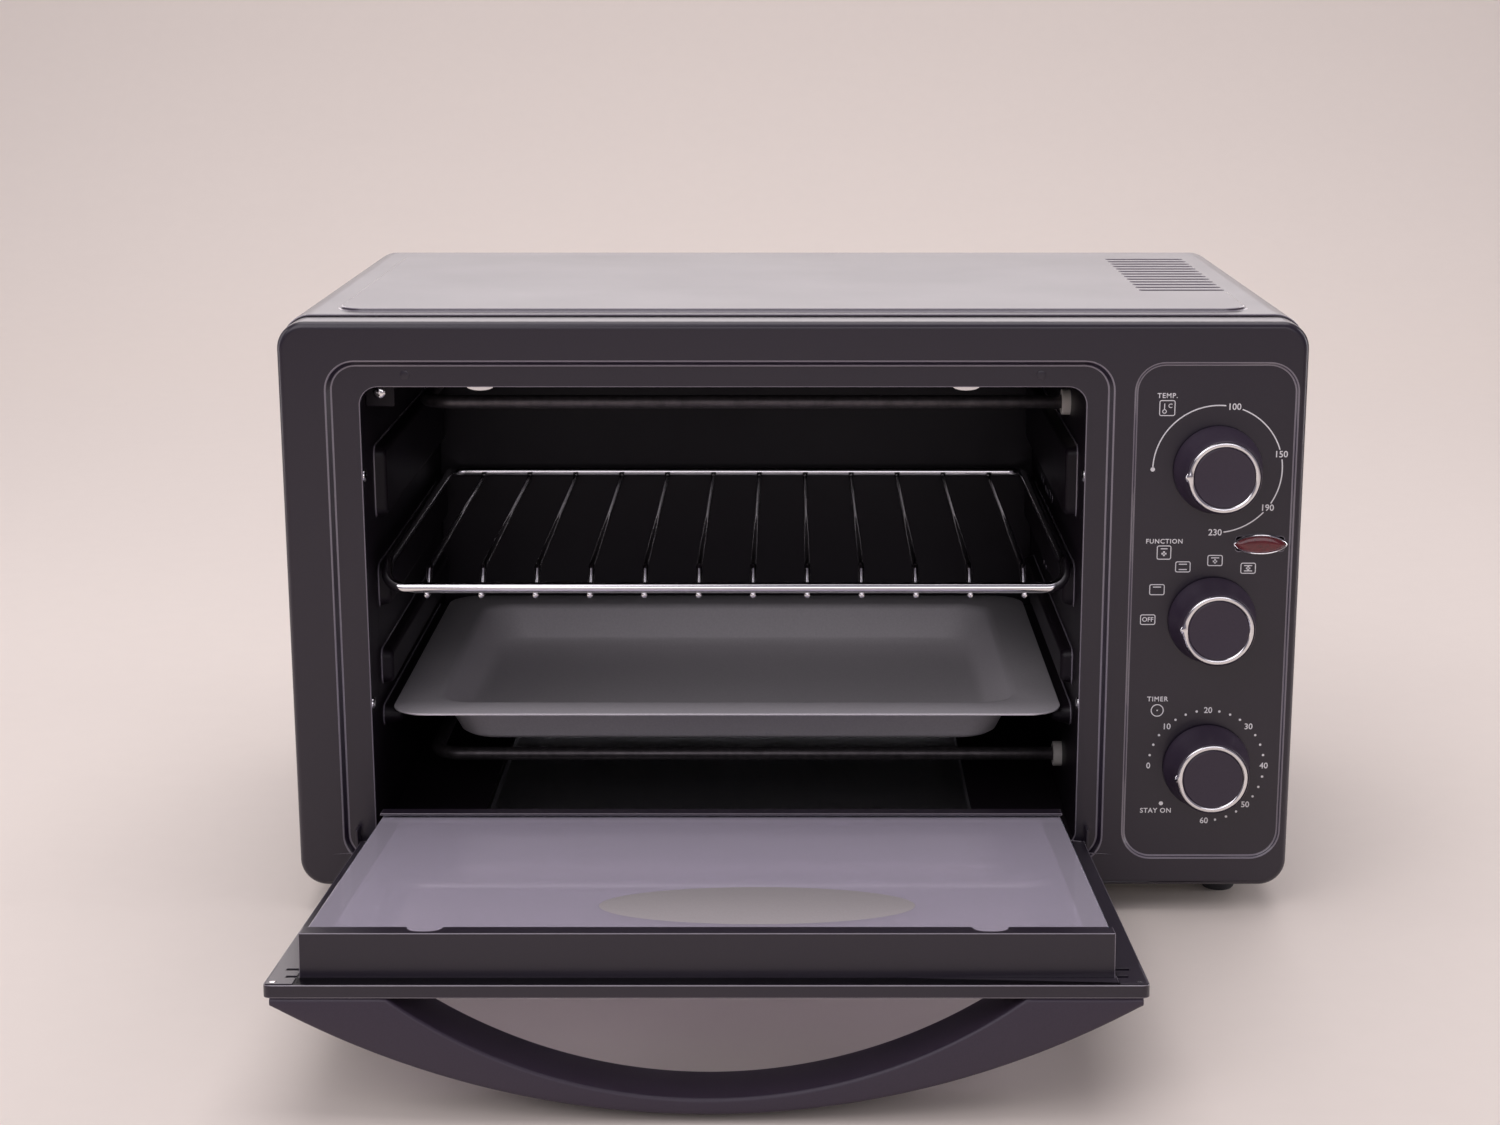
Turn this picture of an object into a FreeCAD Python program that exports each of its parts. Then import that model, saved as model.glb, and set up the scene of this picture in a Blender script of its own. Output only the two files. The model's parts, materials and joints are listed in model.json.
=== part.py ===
import FreeCAD, Part
import math
import os
import re
import Sketcher

# Countertop toaster oven, in millimetres.  X runs to the right, Y to the back and Z up.  The
# origin lies on the table, under the middle of the space that the oven takes with its door open.
# Every piece is drawn against the front face: face_y, at the end, moves all of them back to the
# origin together.  The door is drawn closed and then swung open about its hinge.

SIZES = (
    # casing
    ("body_width", 450),          # over the cover's sides
    ("body_height", 258.8),       # bottom edge to the flat of the cover's top
    ("body_depth", 268),          # front face to the cover's back edge
    ("foot_height", 12),
    ("foot_radius", 8.5),
    ("foot_taper", 1),            # how much narrower a foot is at the table
    ("foot_inset", 26),           # cover side to foot centre
    ("foot_front", 33),           # front face to front foot centre
    ("foot_back", 30),            # cover's back edge to rear foot centre
    ("metal", 1),                 # casing sheet thickness
    ("face_metal", 1.2),          # front panel sheet thickness
    ("corner_round", 13),
    ("edge_round", 3),
    ("fascia_depth", 18),
    ("fascia_inset", 1),          # front panel rim inside the cover's outline
    ("seam", 1),                  # gap between front panel rim and cover
    ("flange", 37),               # cover's bottom flange, from its side inwards
    ("emboss", 1.2),              # raised field on the cover's top
    ("emboss_side", 22),          # cover side to the raised field
    ("emboss_front", 28),
    ("emboss_back", 24),
    ("emboss_round", 14),
    ("slope", 40),                # wall angle of every pressed step
    ("panel_inset", 4),           # rear panel set into the cover
    ("panel_lip", 9),
    # openings in the casing
    ("vent_count", 13),
    ("vent_length", 40),
    ("vent_width", 4.4),
    ("vent_pitch", 10.8),
    ("vent_side", 23),            # cover side to the vents' outer ends
    ("vent_front", 93),
    ("rear_slot_count", 9),
    ("rear_slot_side", 137),      # oven's middle to the first rear slot
    ("rear_slot_low", 176),
    ("side_slot_count", 10),
    ("side_slot_front", 150),
    ("side_slot_low", 176),
    # front layout
    ("left_margin", 36),          # body side to the cavity opening
    ("control_margin", 97),       # cavity opening to the body's control side
    ("sill", 17.5),               # body bottom to the opening
    ("header", 29.8),             # opening to the flat of the top
    ("opening_round", 8),
    ("recess_left", 14.5),        # pressed recess round the opening
    ("recess_right", 11.8),
    ("recess_top", 11.7),
    ("recess_low", 6.5),
    ("recess_depth", 2.5),
    ("recess_round", 13),
    ("control_gap", 9.2),         # recess to the control field
    ("control_edge", 5),          # control field to the body side
    ("control_low", 13.5),
    ("control_high", 18.8),
    ("control_depth", 1),
    # cavity
    ("cavity_clear", 1),          # walls outside the opening
    ("liner", 1),                 # cavity sheet thickness
    ("cavity_back", 250),
    ("floor_rim", 44),            # cavity floor left round its window
    ("ridge_reach", 5.5),
    ("ridge_front", 38),
    ("ridge_back", 14),
    ("ridge_round", 4.5),         # ends of a ridge, seen from the side
    ("ridge_edge", 2.2),          # rounding along a ridge
    ("pan_share", 0.2693),        # shelf that holds the pan's rim, as a share of cavity height
    ("rack_share", 0.5831),       # shelf that holds the rack, as a share of cavity height
    ("pan_ledge_reach", 9),
    ("pan_ledge_thick", 10),
    ("rack_ledge_thick", 20),
    ("pan_slot", 10),             # pan's shelf up to the ridge that keeps the pan level
    ("pan_guard_thick", 17),
    ("rack_slot", 22),            # rack's shelf up to the ridge that keeps the rack level
    ("guard_drop", 34),           # cavity roof down to the uppermost ridge
    # door
    ("hinge_rise", 1.5),          # hinge axis above the opening's edge
    ("door_left", 7),             # door plate beyond the opening
    ("door_right", 4),
    ("door_top", 4.5),
    ("door_thick", 5),
    ("door_gap", 0.5),            # closed door to the recess
    ("door_round", 6),
    ("inner_side", 12),           # plate edge to the inner frame
    ("inner_top", 9.5),
    ("inner_low", 8),             # hinge axis to the inner frame
    ("inner_depth", 17),
    ("rail_lip", 9),
    ("rail_land", 10),
    ("window_margin", 24),        # inner frame to the window cut in the plate
    ("window_round", 10),
    ("glass_thick", 4),
    ("glass_seat", 2),            # glass face below the inner frame's back
    ("glass_clear", 0.5),
    ("clip_long", 26),
    ("clip_sunk", 0.8),           # corner clips let into the plate's hem
    ("clip_proud", 0.2),
    ("pin_radius", 1.5),
    ("pin_clear", 0.05),
    ("pin_reach", 12),
    ("bracket_thick", 1.2),
    ("bracket_gap", 0.4),
    ("bracket_below", 2.4),       # hinge axis to the bracket's lower edge
    ("bracket_above", 9),
    ("bracket_front", 3.5),       # hinge axis to the bracket's front edge
    # handle
    ("handle_inset", 2.5),
    ("handle_height", 31),
    ("handle_bulge", 45),
    ("handle_toe", 3),            # bow thickness at its very ends
    ("handle_middle", 6.5),       # bow thickness at the middle
    ("handle_foot", 43),          # length of each solid end
    ("handle_rest", 0.5),         # bow above the table with the door open
    # knobs and what they turn
    ("knob_side", 39),            # body side to the knobs' axes
    ("knob_low", 43.4),           # control field's lower edge to the lowest knob
    ("knob_high", 47.1),          # control field's upper edge to the highest knob
    ("knob_radius", 19.5),
    ("knob_face", 16.2),
    ("knob_height", 19),
    ("knob_gap", 0.8),
    ("ring_edge", 0.4),           # knob's front edge to its bright ring
    ("ring_width", 2.6),
    ("ring_deep", 4),
    ("shaft_radius", 3),
    ("shaft_hole", 4.5),
    ("shaft_into_knob", 12),
    ("shaft_into_bush", 7),
    ("temperature_case", 30),
    ("temperature_deep", 26),
    ("function_case", 34),
    ("function_deep", 20),
    ("timer_case", 46),
    ("timer_deep", 30),
    ("plate_ear", 4),
    ("plate_half", 14),
    # pilot lamp
    ("lamp_side", 19),            # body side to the lens centre
    ("lamp_rise", 0.5),           # above the middle of the gap between the upper two knobs
    ("least_side", 0.1),          # straight stretch left between a lens outline's two ends
    ("lamp_half", 12),
    ("lamp_half_high", 4.6),
    ("lamp_proud", 2),
    ("bezel", 1.4),
    # rack, pan and crumb tray
    ("store_gap", 22),            # front face to the rack and pan when pushed in
    ("rack_clear", 2),
    ("rack_rod", 2.5),
    ("rack_dip", 10),
    ("rack_wires", 12),
    ("rack_wire", 1.5),
    ("rack_round", 8.5),          # bend of the rack's frame at its corners
    ("rack_lead", 10.5),          # length over which the frame rises from its front bar
    ("rack_back", 4),             # rack to the cavity's back wall
    ("weld", 0.6),                # how far a wire sinks into the frame
    ("wire_tip", 0.5),            # wire ends in front of the front bar's middle
    ("wire_flat", 5),             # front bar's middle to where a wire starts to rise
    ("wire_level", 13),           # front bar's middle to where a wire is level again
    ("pan_width", 308),
    ("pan_length", 224),
    ("pan_deep", 21),
    ("pan_rim", 19),
    ("pan_metal", 1.2),
    ("pan_draft", 9),
    ("pan_round", 16),
    ("lift", 0.3),                # running gap under what slides
    ("tray_width", 236),
    ("tray_end", 232),            # front face to the tray's back
    ("tray_pull", 3),
    ("runner", 6),
    ("tray_low", 2.5),
    ("tray_high", 7),
    # heating and air
    ("element_radius", 3.2),
    ("element_top", 20),          # below the cavity's top
    ("element_low", 22),          # above the cavity's floor
    ("element_front", 78),
    ("element_span", 106),
    ("element_end", 26),
    ("element_gap", 12),          # left ridges to the rods' bends
    ("bead_radius", 6),
    ("bead_length", 14),
    ("bead_in", 4),
    ("fan_y", 172),
    ("fan_drop", 90),             # cavity roof down to the fan's axis
    ("fan_radius", 40),
    ("fan_case_radius", 50),
    ("fan_case_deep", 20),
    ("fan_hub", 8),
    ("fan_gap", 4),               # wall to fan
    ("fan_deep", 10),
    ("shaft_in_motor", 14),
    ("ear_reach", 10),
    ("ear_half", 6),
    ("fan_blades", 8),
    ("motor_radius", 24),
    ("motor_deep", 26),
    ("spacer_length", 12),        # rear spacers, behind the cover
    ("spacer_radius", 6),
    ("spacer_side", 45),
    ("spacer_drop", 40),
    ("screw_edge", 17),           # cover's edges to the rear panel's screws
    # small fixings
    ("foot_screw", 2.2),
    ("foot_screw_clear", 0.2),
    ("gland_side", 45),           # cover side to the cord inlet
    ("gland_rise", 42),
    ("gland_radius", 8),
    ("gland_collar", 3),
    ("gland_wall", 3),
    ("block_wide", 40),           # terminal block
    ("block_deep", 18),
    ("block_high", 24),
    ("neon_radius", 2.5),
    ("neon_length", 14),
    ("shield_gap", 6),            # cavity wall to the heat shield
    ("fan_hole", 1.8),
    ("fan_shaft", 2.5),
    ("bell_radius", 17),
    ("bell_deep", 10),
    ("handle_screw", 2),
    ("handle_screw_in", 8),
    ("screw_head", 3),
    ("screw_high", 2),
    ("screw_tab", 13),            # tab that carries the screw in the cavity's corner
    ("screw_tab_y", 23),          # behind the closed door
    ("catch_drop", 2.6),
    ("catch_width", 12),
    ("catch_deep", 7),
    ("catch_span", 212),
)

DERIVED = (
    ("half", "body_width / 2"),
    ("body_top", "foot_height + body_height"),
    ("left", "left_margin - half"),
    ("right", "half - control_margin"),
    ("low", "foot_height + sill"),
    ("high", "body_top - header"),
    ("recess_x0", "left - recess_left"),
    ("recess_x1", "right + recess_right"),
    ("recess_z0", "low - recess_low"),
    ("recess_z1", "high + recess_top"),
    ("face_back", "recess_depth + face_metal"),
    ("cover_front", "fascia_depth + seam"),
    ("panel_y", "body_depth - panel_inset"),
    ("wall_left", "left - cavity_clear"),
    ("wall_right", "right + cavity_clear"),
    ("floor", "low - cavity_clear"),
    ("roof", "high + cavity_clear"),
    ("control_x0", "recess_x1 + control_gap"),
    ("control_x1", "half - control_edge"),
    ("control_z0", "foot_height + control_low"),
    ("control_z1", "body_top - control_high"),
    ("control_back", "control_depth + face_metal"),
    ("hinge_y", "recess_depth - door_gap - door_thick / 2"),
    ("hinge_z", "low + hinge_rise"),
    ("door_x0", "left - door_left"),
    ("door_x1", "right + door_right"),
    ("door_z1", "high + door_top"),
    ("door_out", "hinge_y - door_thick / 2"),
    ("door_back", "hinge_y + door_thick / 2"),
    ("inner_x0", "door_x0 + inner_side"),
    ("inner_x1", "door_x1 - inner_side"),
    ("inner_z0", "hinge_z + inner_low"),
    ("inner_z1", "door_z1 - inner_top"),
    ("inner_y", "door_back + inner_depth"),
    ("glass_y", "inner_y - glass_seat - glass_thick"),
    ("clip_z1", "door_z1 - metal"),
    ("clip_z0", "clip_z1 - clip_long"),
    ("handle_x0", "door_x0 + handle_inset"),
    ("handle_x1", "door_x1 - handle_inset"),
    ("handle_x", "(handle_x0 + handle_x1) / 2"),
    ("bow_arm", "door_thick / 2 + handle_bulge"),
    ("bow_reach", "door_z1 - handle_height - hinge_z"),
    ("bow_radius", "sqrt(bow_arm^2 + bow_reach^2)"),
    ("tilt", "(acos((hinge_z - handle_rest) / bow_radius) - atan(bow_reach / bow_arm)) / 1 deg"),
    ("open_angle", "90 - tilt"),
    ("door_tip", "(door_z1 - hinge_z) * cos(tilt) + bow_arm * sin(tilt) - hinge_y"),
    ("face_y", "(door_tip - body_depth - spacer_length) / 2"),
    ("knob_x", "half - knob_side"),
    ("knob_pitch", "(control_z1 - control_z0 - knob_low - knob_high) / 2"),
    ("knob_z", "control_z0 + knob_low + knob_pitch"),
    ("lamp_x", "half - lamp_side"),
    ("lamp_z", "knob_z + knob_pitch / 2 + lamp_rise"),
    ("pan_shelf", "floor + pan_share * (roof - floor)"),
    ("rack_shelf", "floor + rack_share * (roof - floor)"),
    ("pan_z", "pan_shelf + lift"),
    ("rack_z", "rack_shelf + lift + rack_rod"),
    ("fan_z", "roof - fan_drop"),
    ("vent_round", "vent_width * 0.45"),
    ("middle", "(left + right) / 2"),
    ("tray_x0", "middle - tray_width / 2"),
    ("tray_x1", "middle + tray_width / 2"),
)

doc = FreeCAD.newDocument("toaster_oven")
sheet = doc.addObject("Spreadsheet::Sheet", "Sizes")
for row, (alias, value) in enumerate(SIZES, start=1):
    sheet.set(f"A{row}", str(value))
    sheet.setAlias(f"A{row}", alias)
doc.recompute()

SIZE_NAMES = {alias for alias, value in SIZES}
DERIVED_NAMES = {name for name, text in DERIVED}
derived = doc.addObject("App::FeaturePython", "Derived")
probe = doc.addObject("App::FeaturePython", "Probe")
probe.addProperty("App::PropertyFloat", "reading")


def link(text):
    """Write a formula with every named size pointing at the sheet or at the derived values."""
    def point(match):
        word = match.group(0)
        if word in SIZE_NAMES:
            return "Sizes." + word
        return "Derived." + word if word in DERIVED_NAMES else word
    return re.sub(r"[A-Za-z_][A-Za-z_0-9]*", point, str(text))


def number(text):
    """What a formula comes to at the present sizes."""
    probe.setExpression("reading", link(text))
    probe.recompute()
    return probe.reading


def bind(thing, prop, text):
    thing.setExpression(prop, link(text))


for name, text in DERIVED:
    derived.addProperty("App::PropertyFloat", name)
    bind(derived, name, text)
doc.recompute()

X, Y, Z = FreeCAD.Vector(1, 0, 0), FreeCAD.Vector(0, 1, 0), FreeCAD.Vector(0, 0, 1)
ORIGIN = FreeCAD.Vector(0, 0, 0)
ALONG = {"x": FreeCAD.Rotation(Z, X), "y": FreeCAD.Rotation(Z, Y), "z": FreeCAD.Rotation()}
SUB_PARTS = []


# Part primitives and booleans

def place(thing, x, y, z):
    for axis, text in (("x", x), ("y", y), ("z", z)):
        bind(thing, "Placement.Base." + axis, text)


def box(x0, x1, y0, y1, z0, z1):
    solid = doc.addObject("Part::Box", "Block")
    bind(solid, "Length", f"({x1}) - ({x0})")
    bind(solid, "Width", f"({y1}) - ({y0})")
    bind(solid, "Height", f"({z1}) - ({z0})")
    place(solid, x0, y0, z0)
    return solid


def rod(radius, length, x, y, z, along):
    """A round bar that starts at a point and runs along an axis."""
    solid = doc.addObject("Part::Cylinder", "Rod")
    solid.Placement = FreeCAD.Placement(ORIGIN, ALONG[along])
    bind(solid, "Radius", radius)
    bind(solid, "Height", length)
    place(solid, x, y, z)
    return solid


def fuse(*solids):
    joined = doc.addObject("Part::MultiFuse", "Joined")
    joined.Shapes = list(solids)
    return joined


def cut(base, *tools):
    result = doc.addObject("Part::Cut", "Trimmed")
    result.Base = base
    result.Tool = tools[0] if len(tools) == 1 else fuse(*tools)
    return result


def group(*solids):
    together = doc.addObject("Part::Compound", "Together")
    together.Links = list(solids)
    return together


# PartDesign bodies

def body(label):
    made = doc.addObject("PartDesign::Body", "Body_" + label)
    SUB_PARTS.append((label, made))
    return made


def origin_part(made, role):
    return [item for item in made.Origin.OriginFeatures if item.Role == role][0]


def sketch(made, plane, offset):
    """A sketch on one of the body's own planes, moved to a place along the axis it faces."""
    drawn = made.newObject("Sketcher::SketchObject", "Sketch")
    drawn.AttachmentSupport = [(origin_part(made, plane), "")]
    drawn.MapMode = "FlatFace"
    towards = "-" if plane == "XZ_Plane" else ""
    bind(drawn, "AttachmentOffset.Base.z", f"{towards}({offset})")
    return drawn


def measure(drawn, constraint, text):
    """Add a sketch dimension and tie it to a formula."""
    index = drawn.addConstraint(constraint)
    bind(drawn, f"Constraints[{index}]", text)


def rounded(drawn, x0, x1, y0, y1, radius):
    """A rectangle with round corners, dimensioned from the sketch's origin."""
    a, b, c, d, turn = (number(text) for text in (x0, x1, y0, y1, radius))
    V = FreeCAD.Vector
    first = drawn.GeometryCount
    for start, end in (((a + turn, c), (b - turn, c)), ((b, c + turn), (b, d - turn)),
                       ((b - turn, d), (a + turn, d)), ((a, d - turn), (a, c + turn))):
        drawn.addGeometry(Part.LineSegment(V(*start, 0), V(*end, 0)))
    for centre, angle in (((b - turn, c + turn), 270), ((b - turn, d - turn), 0),
                          ((a + turn, d - turn), 90), ((a + turn, c + turn), 180)):
        circle = Part.Circle(V(*centre, 0), Z, turn)
        drawn.addGeometry(Part.ArcOfCircle(circle, math.radians(angle), math.radians(angle + 90)))
    for side in range(4):
        line, arc, after = first + side, first + 4 + side, first + (side + 1) % 4
        drawn.addConstraint(Sketcher.Constraint("Tangent", line, 2, arc, 1))
        drawn.addConstraint(Sketcher.Constraint("Tangent", arc, 2, after, 1))
        drawn.addConstraint(Sketcher.Constraint("Vertical" if side % 2 else "Horizontal", line))
        if side:
            drawn.addConstraint(Sketcher.Constraint("Equal", first + 4, arc))
    measure(drawn, Sketcher.Constraint("Radius", first + 4, turn), radius)
    measure(drawn, Sketcher.Constraint("DistanceX", -1, 1, first + 3, 1, a), x0)
    measure(drawn, Sketcher.Constraint("DistanceX", -1, 1, first + 1, 1, b), x1)
    measure(drawn, Sketcher.Constraint("DistanceY", -1, 1, first, 1, c), y0)
    measure(drawn, Sketcher.Constraint("DistanceY", -1, 1, first + 2, 1, d), y1)


def square(drawn, x0, x1, y0, y1):
    """A rectangle with sharp corners, dimensioned from the sketch's origin."""
    a, b, c, d = (number(text) for text in (x0, x1, y0, y1))
    corners = [FreeCAD.Vector(*spot, 0) for spot in ((a, c), (b, c), (b, d), (a, d))]
    first = drawn.GeometryCount
    for side in range(4):
        drawn.addGeometry(Part.LineSegment(corners[side], corners[(side + 1) % 4]))
    for side in range(4):
        line, after = first + side, first + (side + 1) % 4
        drawn.addConstraint(Sketcher.Constraint("Coincident", line, 2, after, 1))
        drawn.addConstraint(Sketcher.Constraint("Vertical" if side % 2 else "Horizontal", line))
    measure(drawn, Sketcher.Constraint("DistanceX", -1, 1, first, 1, a), x0)
    measure(drawn, Sketcher.Constraint("DistanceX", -1, 1, first + 1, 1, b), x1)
    measure(drawn, Sketcher.Constraint("DistanceY", -1, 1, first, 1, c), y0)
    measure(drawn, Sketcher.Constraint("DistanceY", -1, 1, first + 2, 1, d), y1)


def ring(drawn, x, y, radius):
    """A circle, dimensioned from the sketch's origin."""
    at = FreeCAD.Vector(number(x), number(y), 0)
    index = drawn.addGeometry(Part.Circle(at, Z, number(radius)))
    measure(drawn, Sketcher.Constraint("Radius", index, number(radius)), radius)
    measure(drawn, Sketcher.Constraint("DistanceX", -1, 1, index, 3, at.x), x)
    measure(drawn, Sketcher.Constraint("DistanceY", -1, 1, index, 3, at.y), y)


def pad(made, drawn, length, draft=None, backward=False):
    """Raise a sketch towards the plus end of its axis."""
    feature = made.newObject("PartDesign::Pad", "Pad")
    feature.Profile = drawn
    bind(feature, "Length", length)
    faces_minus = origin_part(made, "XZ_Plane") == drawn.AttachmentSupport[0][0]
    feature.Reversed = faces_minus != backward
    if draft:
        bind(feature, "TaperAngle", f"-({draft})")
    doc.recompute()
    return feature


def pocket(made, drawn, length, draft=None):
    """Cut a sketch into the body, towards the plus end of its axis."""
    feature = made.newObject("PartDesign::Pocket", "Pocket")
    feature.Profile = drawn
    bind(feature, "Length", length)
    feature.Reversed = origin_part(made, "XZ_Plane") != drawn.AttachmentSupport[0][0]
    if draft:
        bind(feature, "TaperAngle", f"-({draft})")
    before = made.Shape.Volume
    doc.recompute()
    if made.Shape.Volume >= before:
        raise RuntimeError(made.Name + ": a pocket cut nothing")
    return feature


def repeat(made, feature, axis, pitch, count):
    """Repeat a feature along an axis at a pitch."""
    row = made.newObject("PartDesign::LinearPattern", "Row")
    row.Originals = [feature]
    row.Direction = (origin_part(made, axis), [""])
    bind(row, "Length", f"({pitch}) * (({count}) - 1)")
    bind(row, "Occurrences", count)
    made.Tip = row
    doc.recompute()
    return row


def soften(made, radius, chosen):
    """Round the edges that a test picks."""
    base = made.Tip
    names = [f"Edge{i}" for i, edge in enumerate(base.Shape.Edges, start=1) if chosen(edge)]
    feature = made.newObject("PartDesign::Fillet", "Round")
    feature.Base = (base, names)
    bind(feature, "Radius", radius)
    doc.recompute()
    return feature


def spread(edge, axis):
    """Lowest and highest reach of an edge along an axis."""
    return getattr(edge.BoundBox, axis + "Min"), getattr(edge.BoundBox, axis + "Max")


def at_level(axis, text):
    """A test for edges that lie wholly at one place along an axis."""
    level = number(text)
    return lambda edge: max(abs(end - level) for end in spread(edge, axis)) < 0.01


# Pipes along a route of straight runs and arcs

def route(points, radius, closed=False):
    """A wire through points, each corner rounded by the same radius."""
    count = len(points)
    corners = range(count) if closed else range(1, count - 1)
    edges, last = [], None if closed else points[0]
    first = None
    for index in corners:
        here, before, after = points[index], points[index - 1], points[(index + 1) % count]
        back, ahead = (before - here).normalize(), (after - here).normalize()
        half_turn = (math.pi - back.getAngle(ahead)) / 2
        reach = radius * math.tan(half_turn)
        enter, leave = here + back * reach, here + ahead * reach
        middle = (back + ahead).normalize() * (radius / math.cos(half_turn) - radius)
        if last is None:
            first = enter
        else:
            edges.append(Part.LineSegment(last, enter).toShape())
        edges.append(Part.Arc(enter, here + middle, leave).toShape())
        last = leave
    edges.append(Part.LineSegment(last, first if closed else points[-1]).toShape())
    return Part.Wire(edges)


def pipe(wire, radius):
    """A solid round bar along a wire."""
    start = wire.Edges[0]
    tangent = start.tangentAt(start.FirstParameter)
    circle = Part.Wire(Part.makeCircle(radius, start.valueAt(start.FirstParameter), tangent))
    return wire.makePipeShell([circle], True, True)


def shaped(label, shape):
    """A sub-part whose shape is worked out from the sheet's numbers."""
    feature = doc.addObject("Part::Feature", "Shaped_" + label)
    feature.Shape = shape
    SUB_PARTS.append((label, feature))
    return feature


def named(label, thing):
    SUB_PARTS.append((label, thing))
    return thing


# Casing

def front_fascia():
    made = body("front_fascia")
    edge = ("fascia_inset - half", "half - fascia_inset", "foot_height", "body_top - fascia_inset")
    drawn = sketch(made, "XZ_Plane", "0")
    rounded(drawn, *edge, "corner_round - fascia_inset")
    pad(made, drawn, "fascia_depth")
    soften(made, "edge_round", at_level("Y", "0"))
    inside = ("fascia_inset + metal - half", "half - fascia_inset - metal",
              "foot_height + metal", "body_top - fascia_inset - metal")
    drawn = sketch(made, "XZ_Plane", "face_back")
    rounded(drawn, *inside, "corner_round - fascia_inset - metal")
    pocket(made, drawn, "fascia_depth")
    left_inside, top_inside = inside[0] + " + edge_round", inside[3] + " - edge_round"
    beside_recess = ((left_inside, "recess_x0 - metal", "recess_z0", "recess_z1"),
                     (left_inside, "control_x0 - metal", "recess_z1 + metal", top_inside),
                     ("recess_x1 + metal", "control_x0 - metal", "recess_z0", "recess_z1"))
    for x0, x1, z0, z1 in beside_recess:
        drawn = sketch(made, "XZ_Plane", "face_metal")
        rounded(drawn, x0, x1, z0, z1, "edge_round")
        pocket(made, drawn, "recess_depth")
    drawn = sketch(made, "XZ_Plane", "control_back")
    rounded(drawn, "control_x0", "control_x1", "control_z0", "control_z1", "edge_round")
    pocket(made, drawn, "face_back - control_back")
    drawn = sketch(made, "XZ_Plane", "0")
    rounded(drawn, "recess_x0", "recess_x1", "recess_z0", "recess_z1", "recess_round")
    pocket(made, drawn, "recess_depth", "slope")
    drawn = sketch(made, "XZ_Plane", "0")
    rounded(drawn, "control_x0", "control_x1", "control_z0", "control_z1", "recess_round")
    pocket(made, drawn, "control_depth", "slope")
    drawn = sketch(made, "XZ_Plane", "0")
    rounded(drawn, "left", "right", "low", "high", "opening_round")
    for step in (-1, 0, 1):
        ring(drawn, "knob_x", f"knob_z + {step} * knob_pitch", "shaft_hole")
    rounded(drawn, "lamp_x - lamp_half + bezel", "lamp_x + lamp_half - bezel",
            "lamp_z - lamp_half_high + bezel", "lamp_z + lamp_half_high - bezel", "bezel")
    rounded(drawn, "tray_x0 - lift", "tray_x1 + lift", "foot_height + tray_low - lift",
            "foot_height + tray_low + tray_high + lift", "lift * 2")
    pocket(made, drawn, "face_back")


def outer_cover():
    made = body("outer_cover")
    drawn = sketch(made, "XZ_Plane", "cover_front")
    rounded(drawn, "-half", "half", "foot_height", "body_top", "corner_round")
    pad(made, drawn, "body_depth - cover_front")
    field = ("emboss_side - half", "half - emboss_side", "emboss_front", "body_depth - emboss_back")
    drawn = sketch(made, "XY_Plane", "body_top")
    rounded(drawn, *field, "emboss_round")
    pad(made, drawn, "emboss", "slope")
    drawn = sketch(made, "XZ_Plane", "cover_front")
    rounded(drawn, "metal - half", "half - metal", "foot_height + metal", "body_top - metal",
            "corner_round - metal")
    pocket(made, drawn, "body_depth")
    drawn = sketch(made, "XY_Plane", "body_top - metal")
    rounded(drawn, *(f"{text} {sign} metal" for text, sign in zip(field, "+-+-")),
            "emboss_round - metal")
    pocket(made, drawn, "emboss", "slope")
    drawn = sketch(made, "XY_Plane", "foot_height")
    square(drawn, "flange - half", "half - flange", "0", "body_depth * 2")
    pocket(made, drawn, "metal")
    drawn = sketch(made, "XY_Plane", "body_top - metal")
    rounded(drawn, "half - vent_side - vent_length", "half - vent_side", "vent_front",
            "vent_front + vent_width", "vent_round")
    slot = pocket(made, drawn, "metal + emboss")
    repeat(made, slot, "Y_Axis", "vent_pitch", "vent_count")
    drawn = sketch(made, "YZ_Plane", "half - metal")
    rounded(drawn, "side_slot_front", "side_slot_front + vent_width", "side_slot_low",
            "side_slot_low + vent_length", "vent_round")
    slot = pocket(made, drawn, "metal")
    repeat(made, slot, "Y_Axis", "vent_width * 2", "side_slot_count")


def rear_panel():
    made = body("rear_panel")
    outline = ("metal - half", "half - metal", "foot_height + metal", "body_top - metal")
    drawn = sketch(made, "XZ_Plane", "panel_y - panel_lip")
    rounded(drawn, *outline, "corner_round - metal")
    pad(made, drawn, "panel_lip")
    drawn = sketch(made, "XZ_Plane", "panel_y - panel_lip")
    rounded(drawn, *(f"{text} {sign} metal" for text, sign in zip(outline, "+-+-")),
            "corner_round - metal * 2")
    pocket(made, drawn, "panel_lip - metal")
    drawn = sketch(made, "XZ_Plane", "panel_y - metal")
    rounded(drawn, "rear_slot_side", "rear_slot_side + vent_width", "rear_slot_low",
            "rear_slot_low + vent_length", "vent_round")
    slot = pocket(made, drawn, "metal")
    repeat(made, slot, "X_Axis", "vent_width * 1.5", "rear_slot_count")
    drawn = sketch(made, "XZ_Plane", "panel_y - metal")
    ring(drawn, "half - gland_side", "foot_height + gland_rise", "gland_radius")
    pocket(made, drawn, "metal")


FEET = [(side, end) for side in (-1, 1) for end in ("foot_front", "body_depth - foot_back")]


def foot_x(side):
    return f"{side} * (half - foot_inset)"


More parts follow.
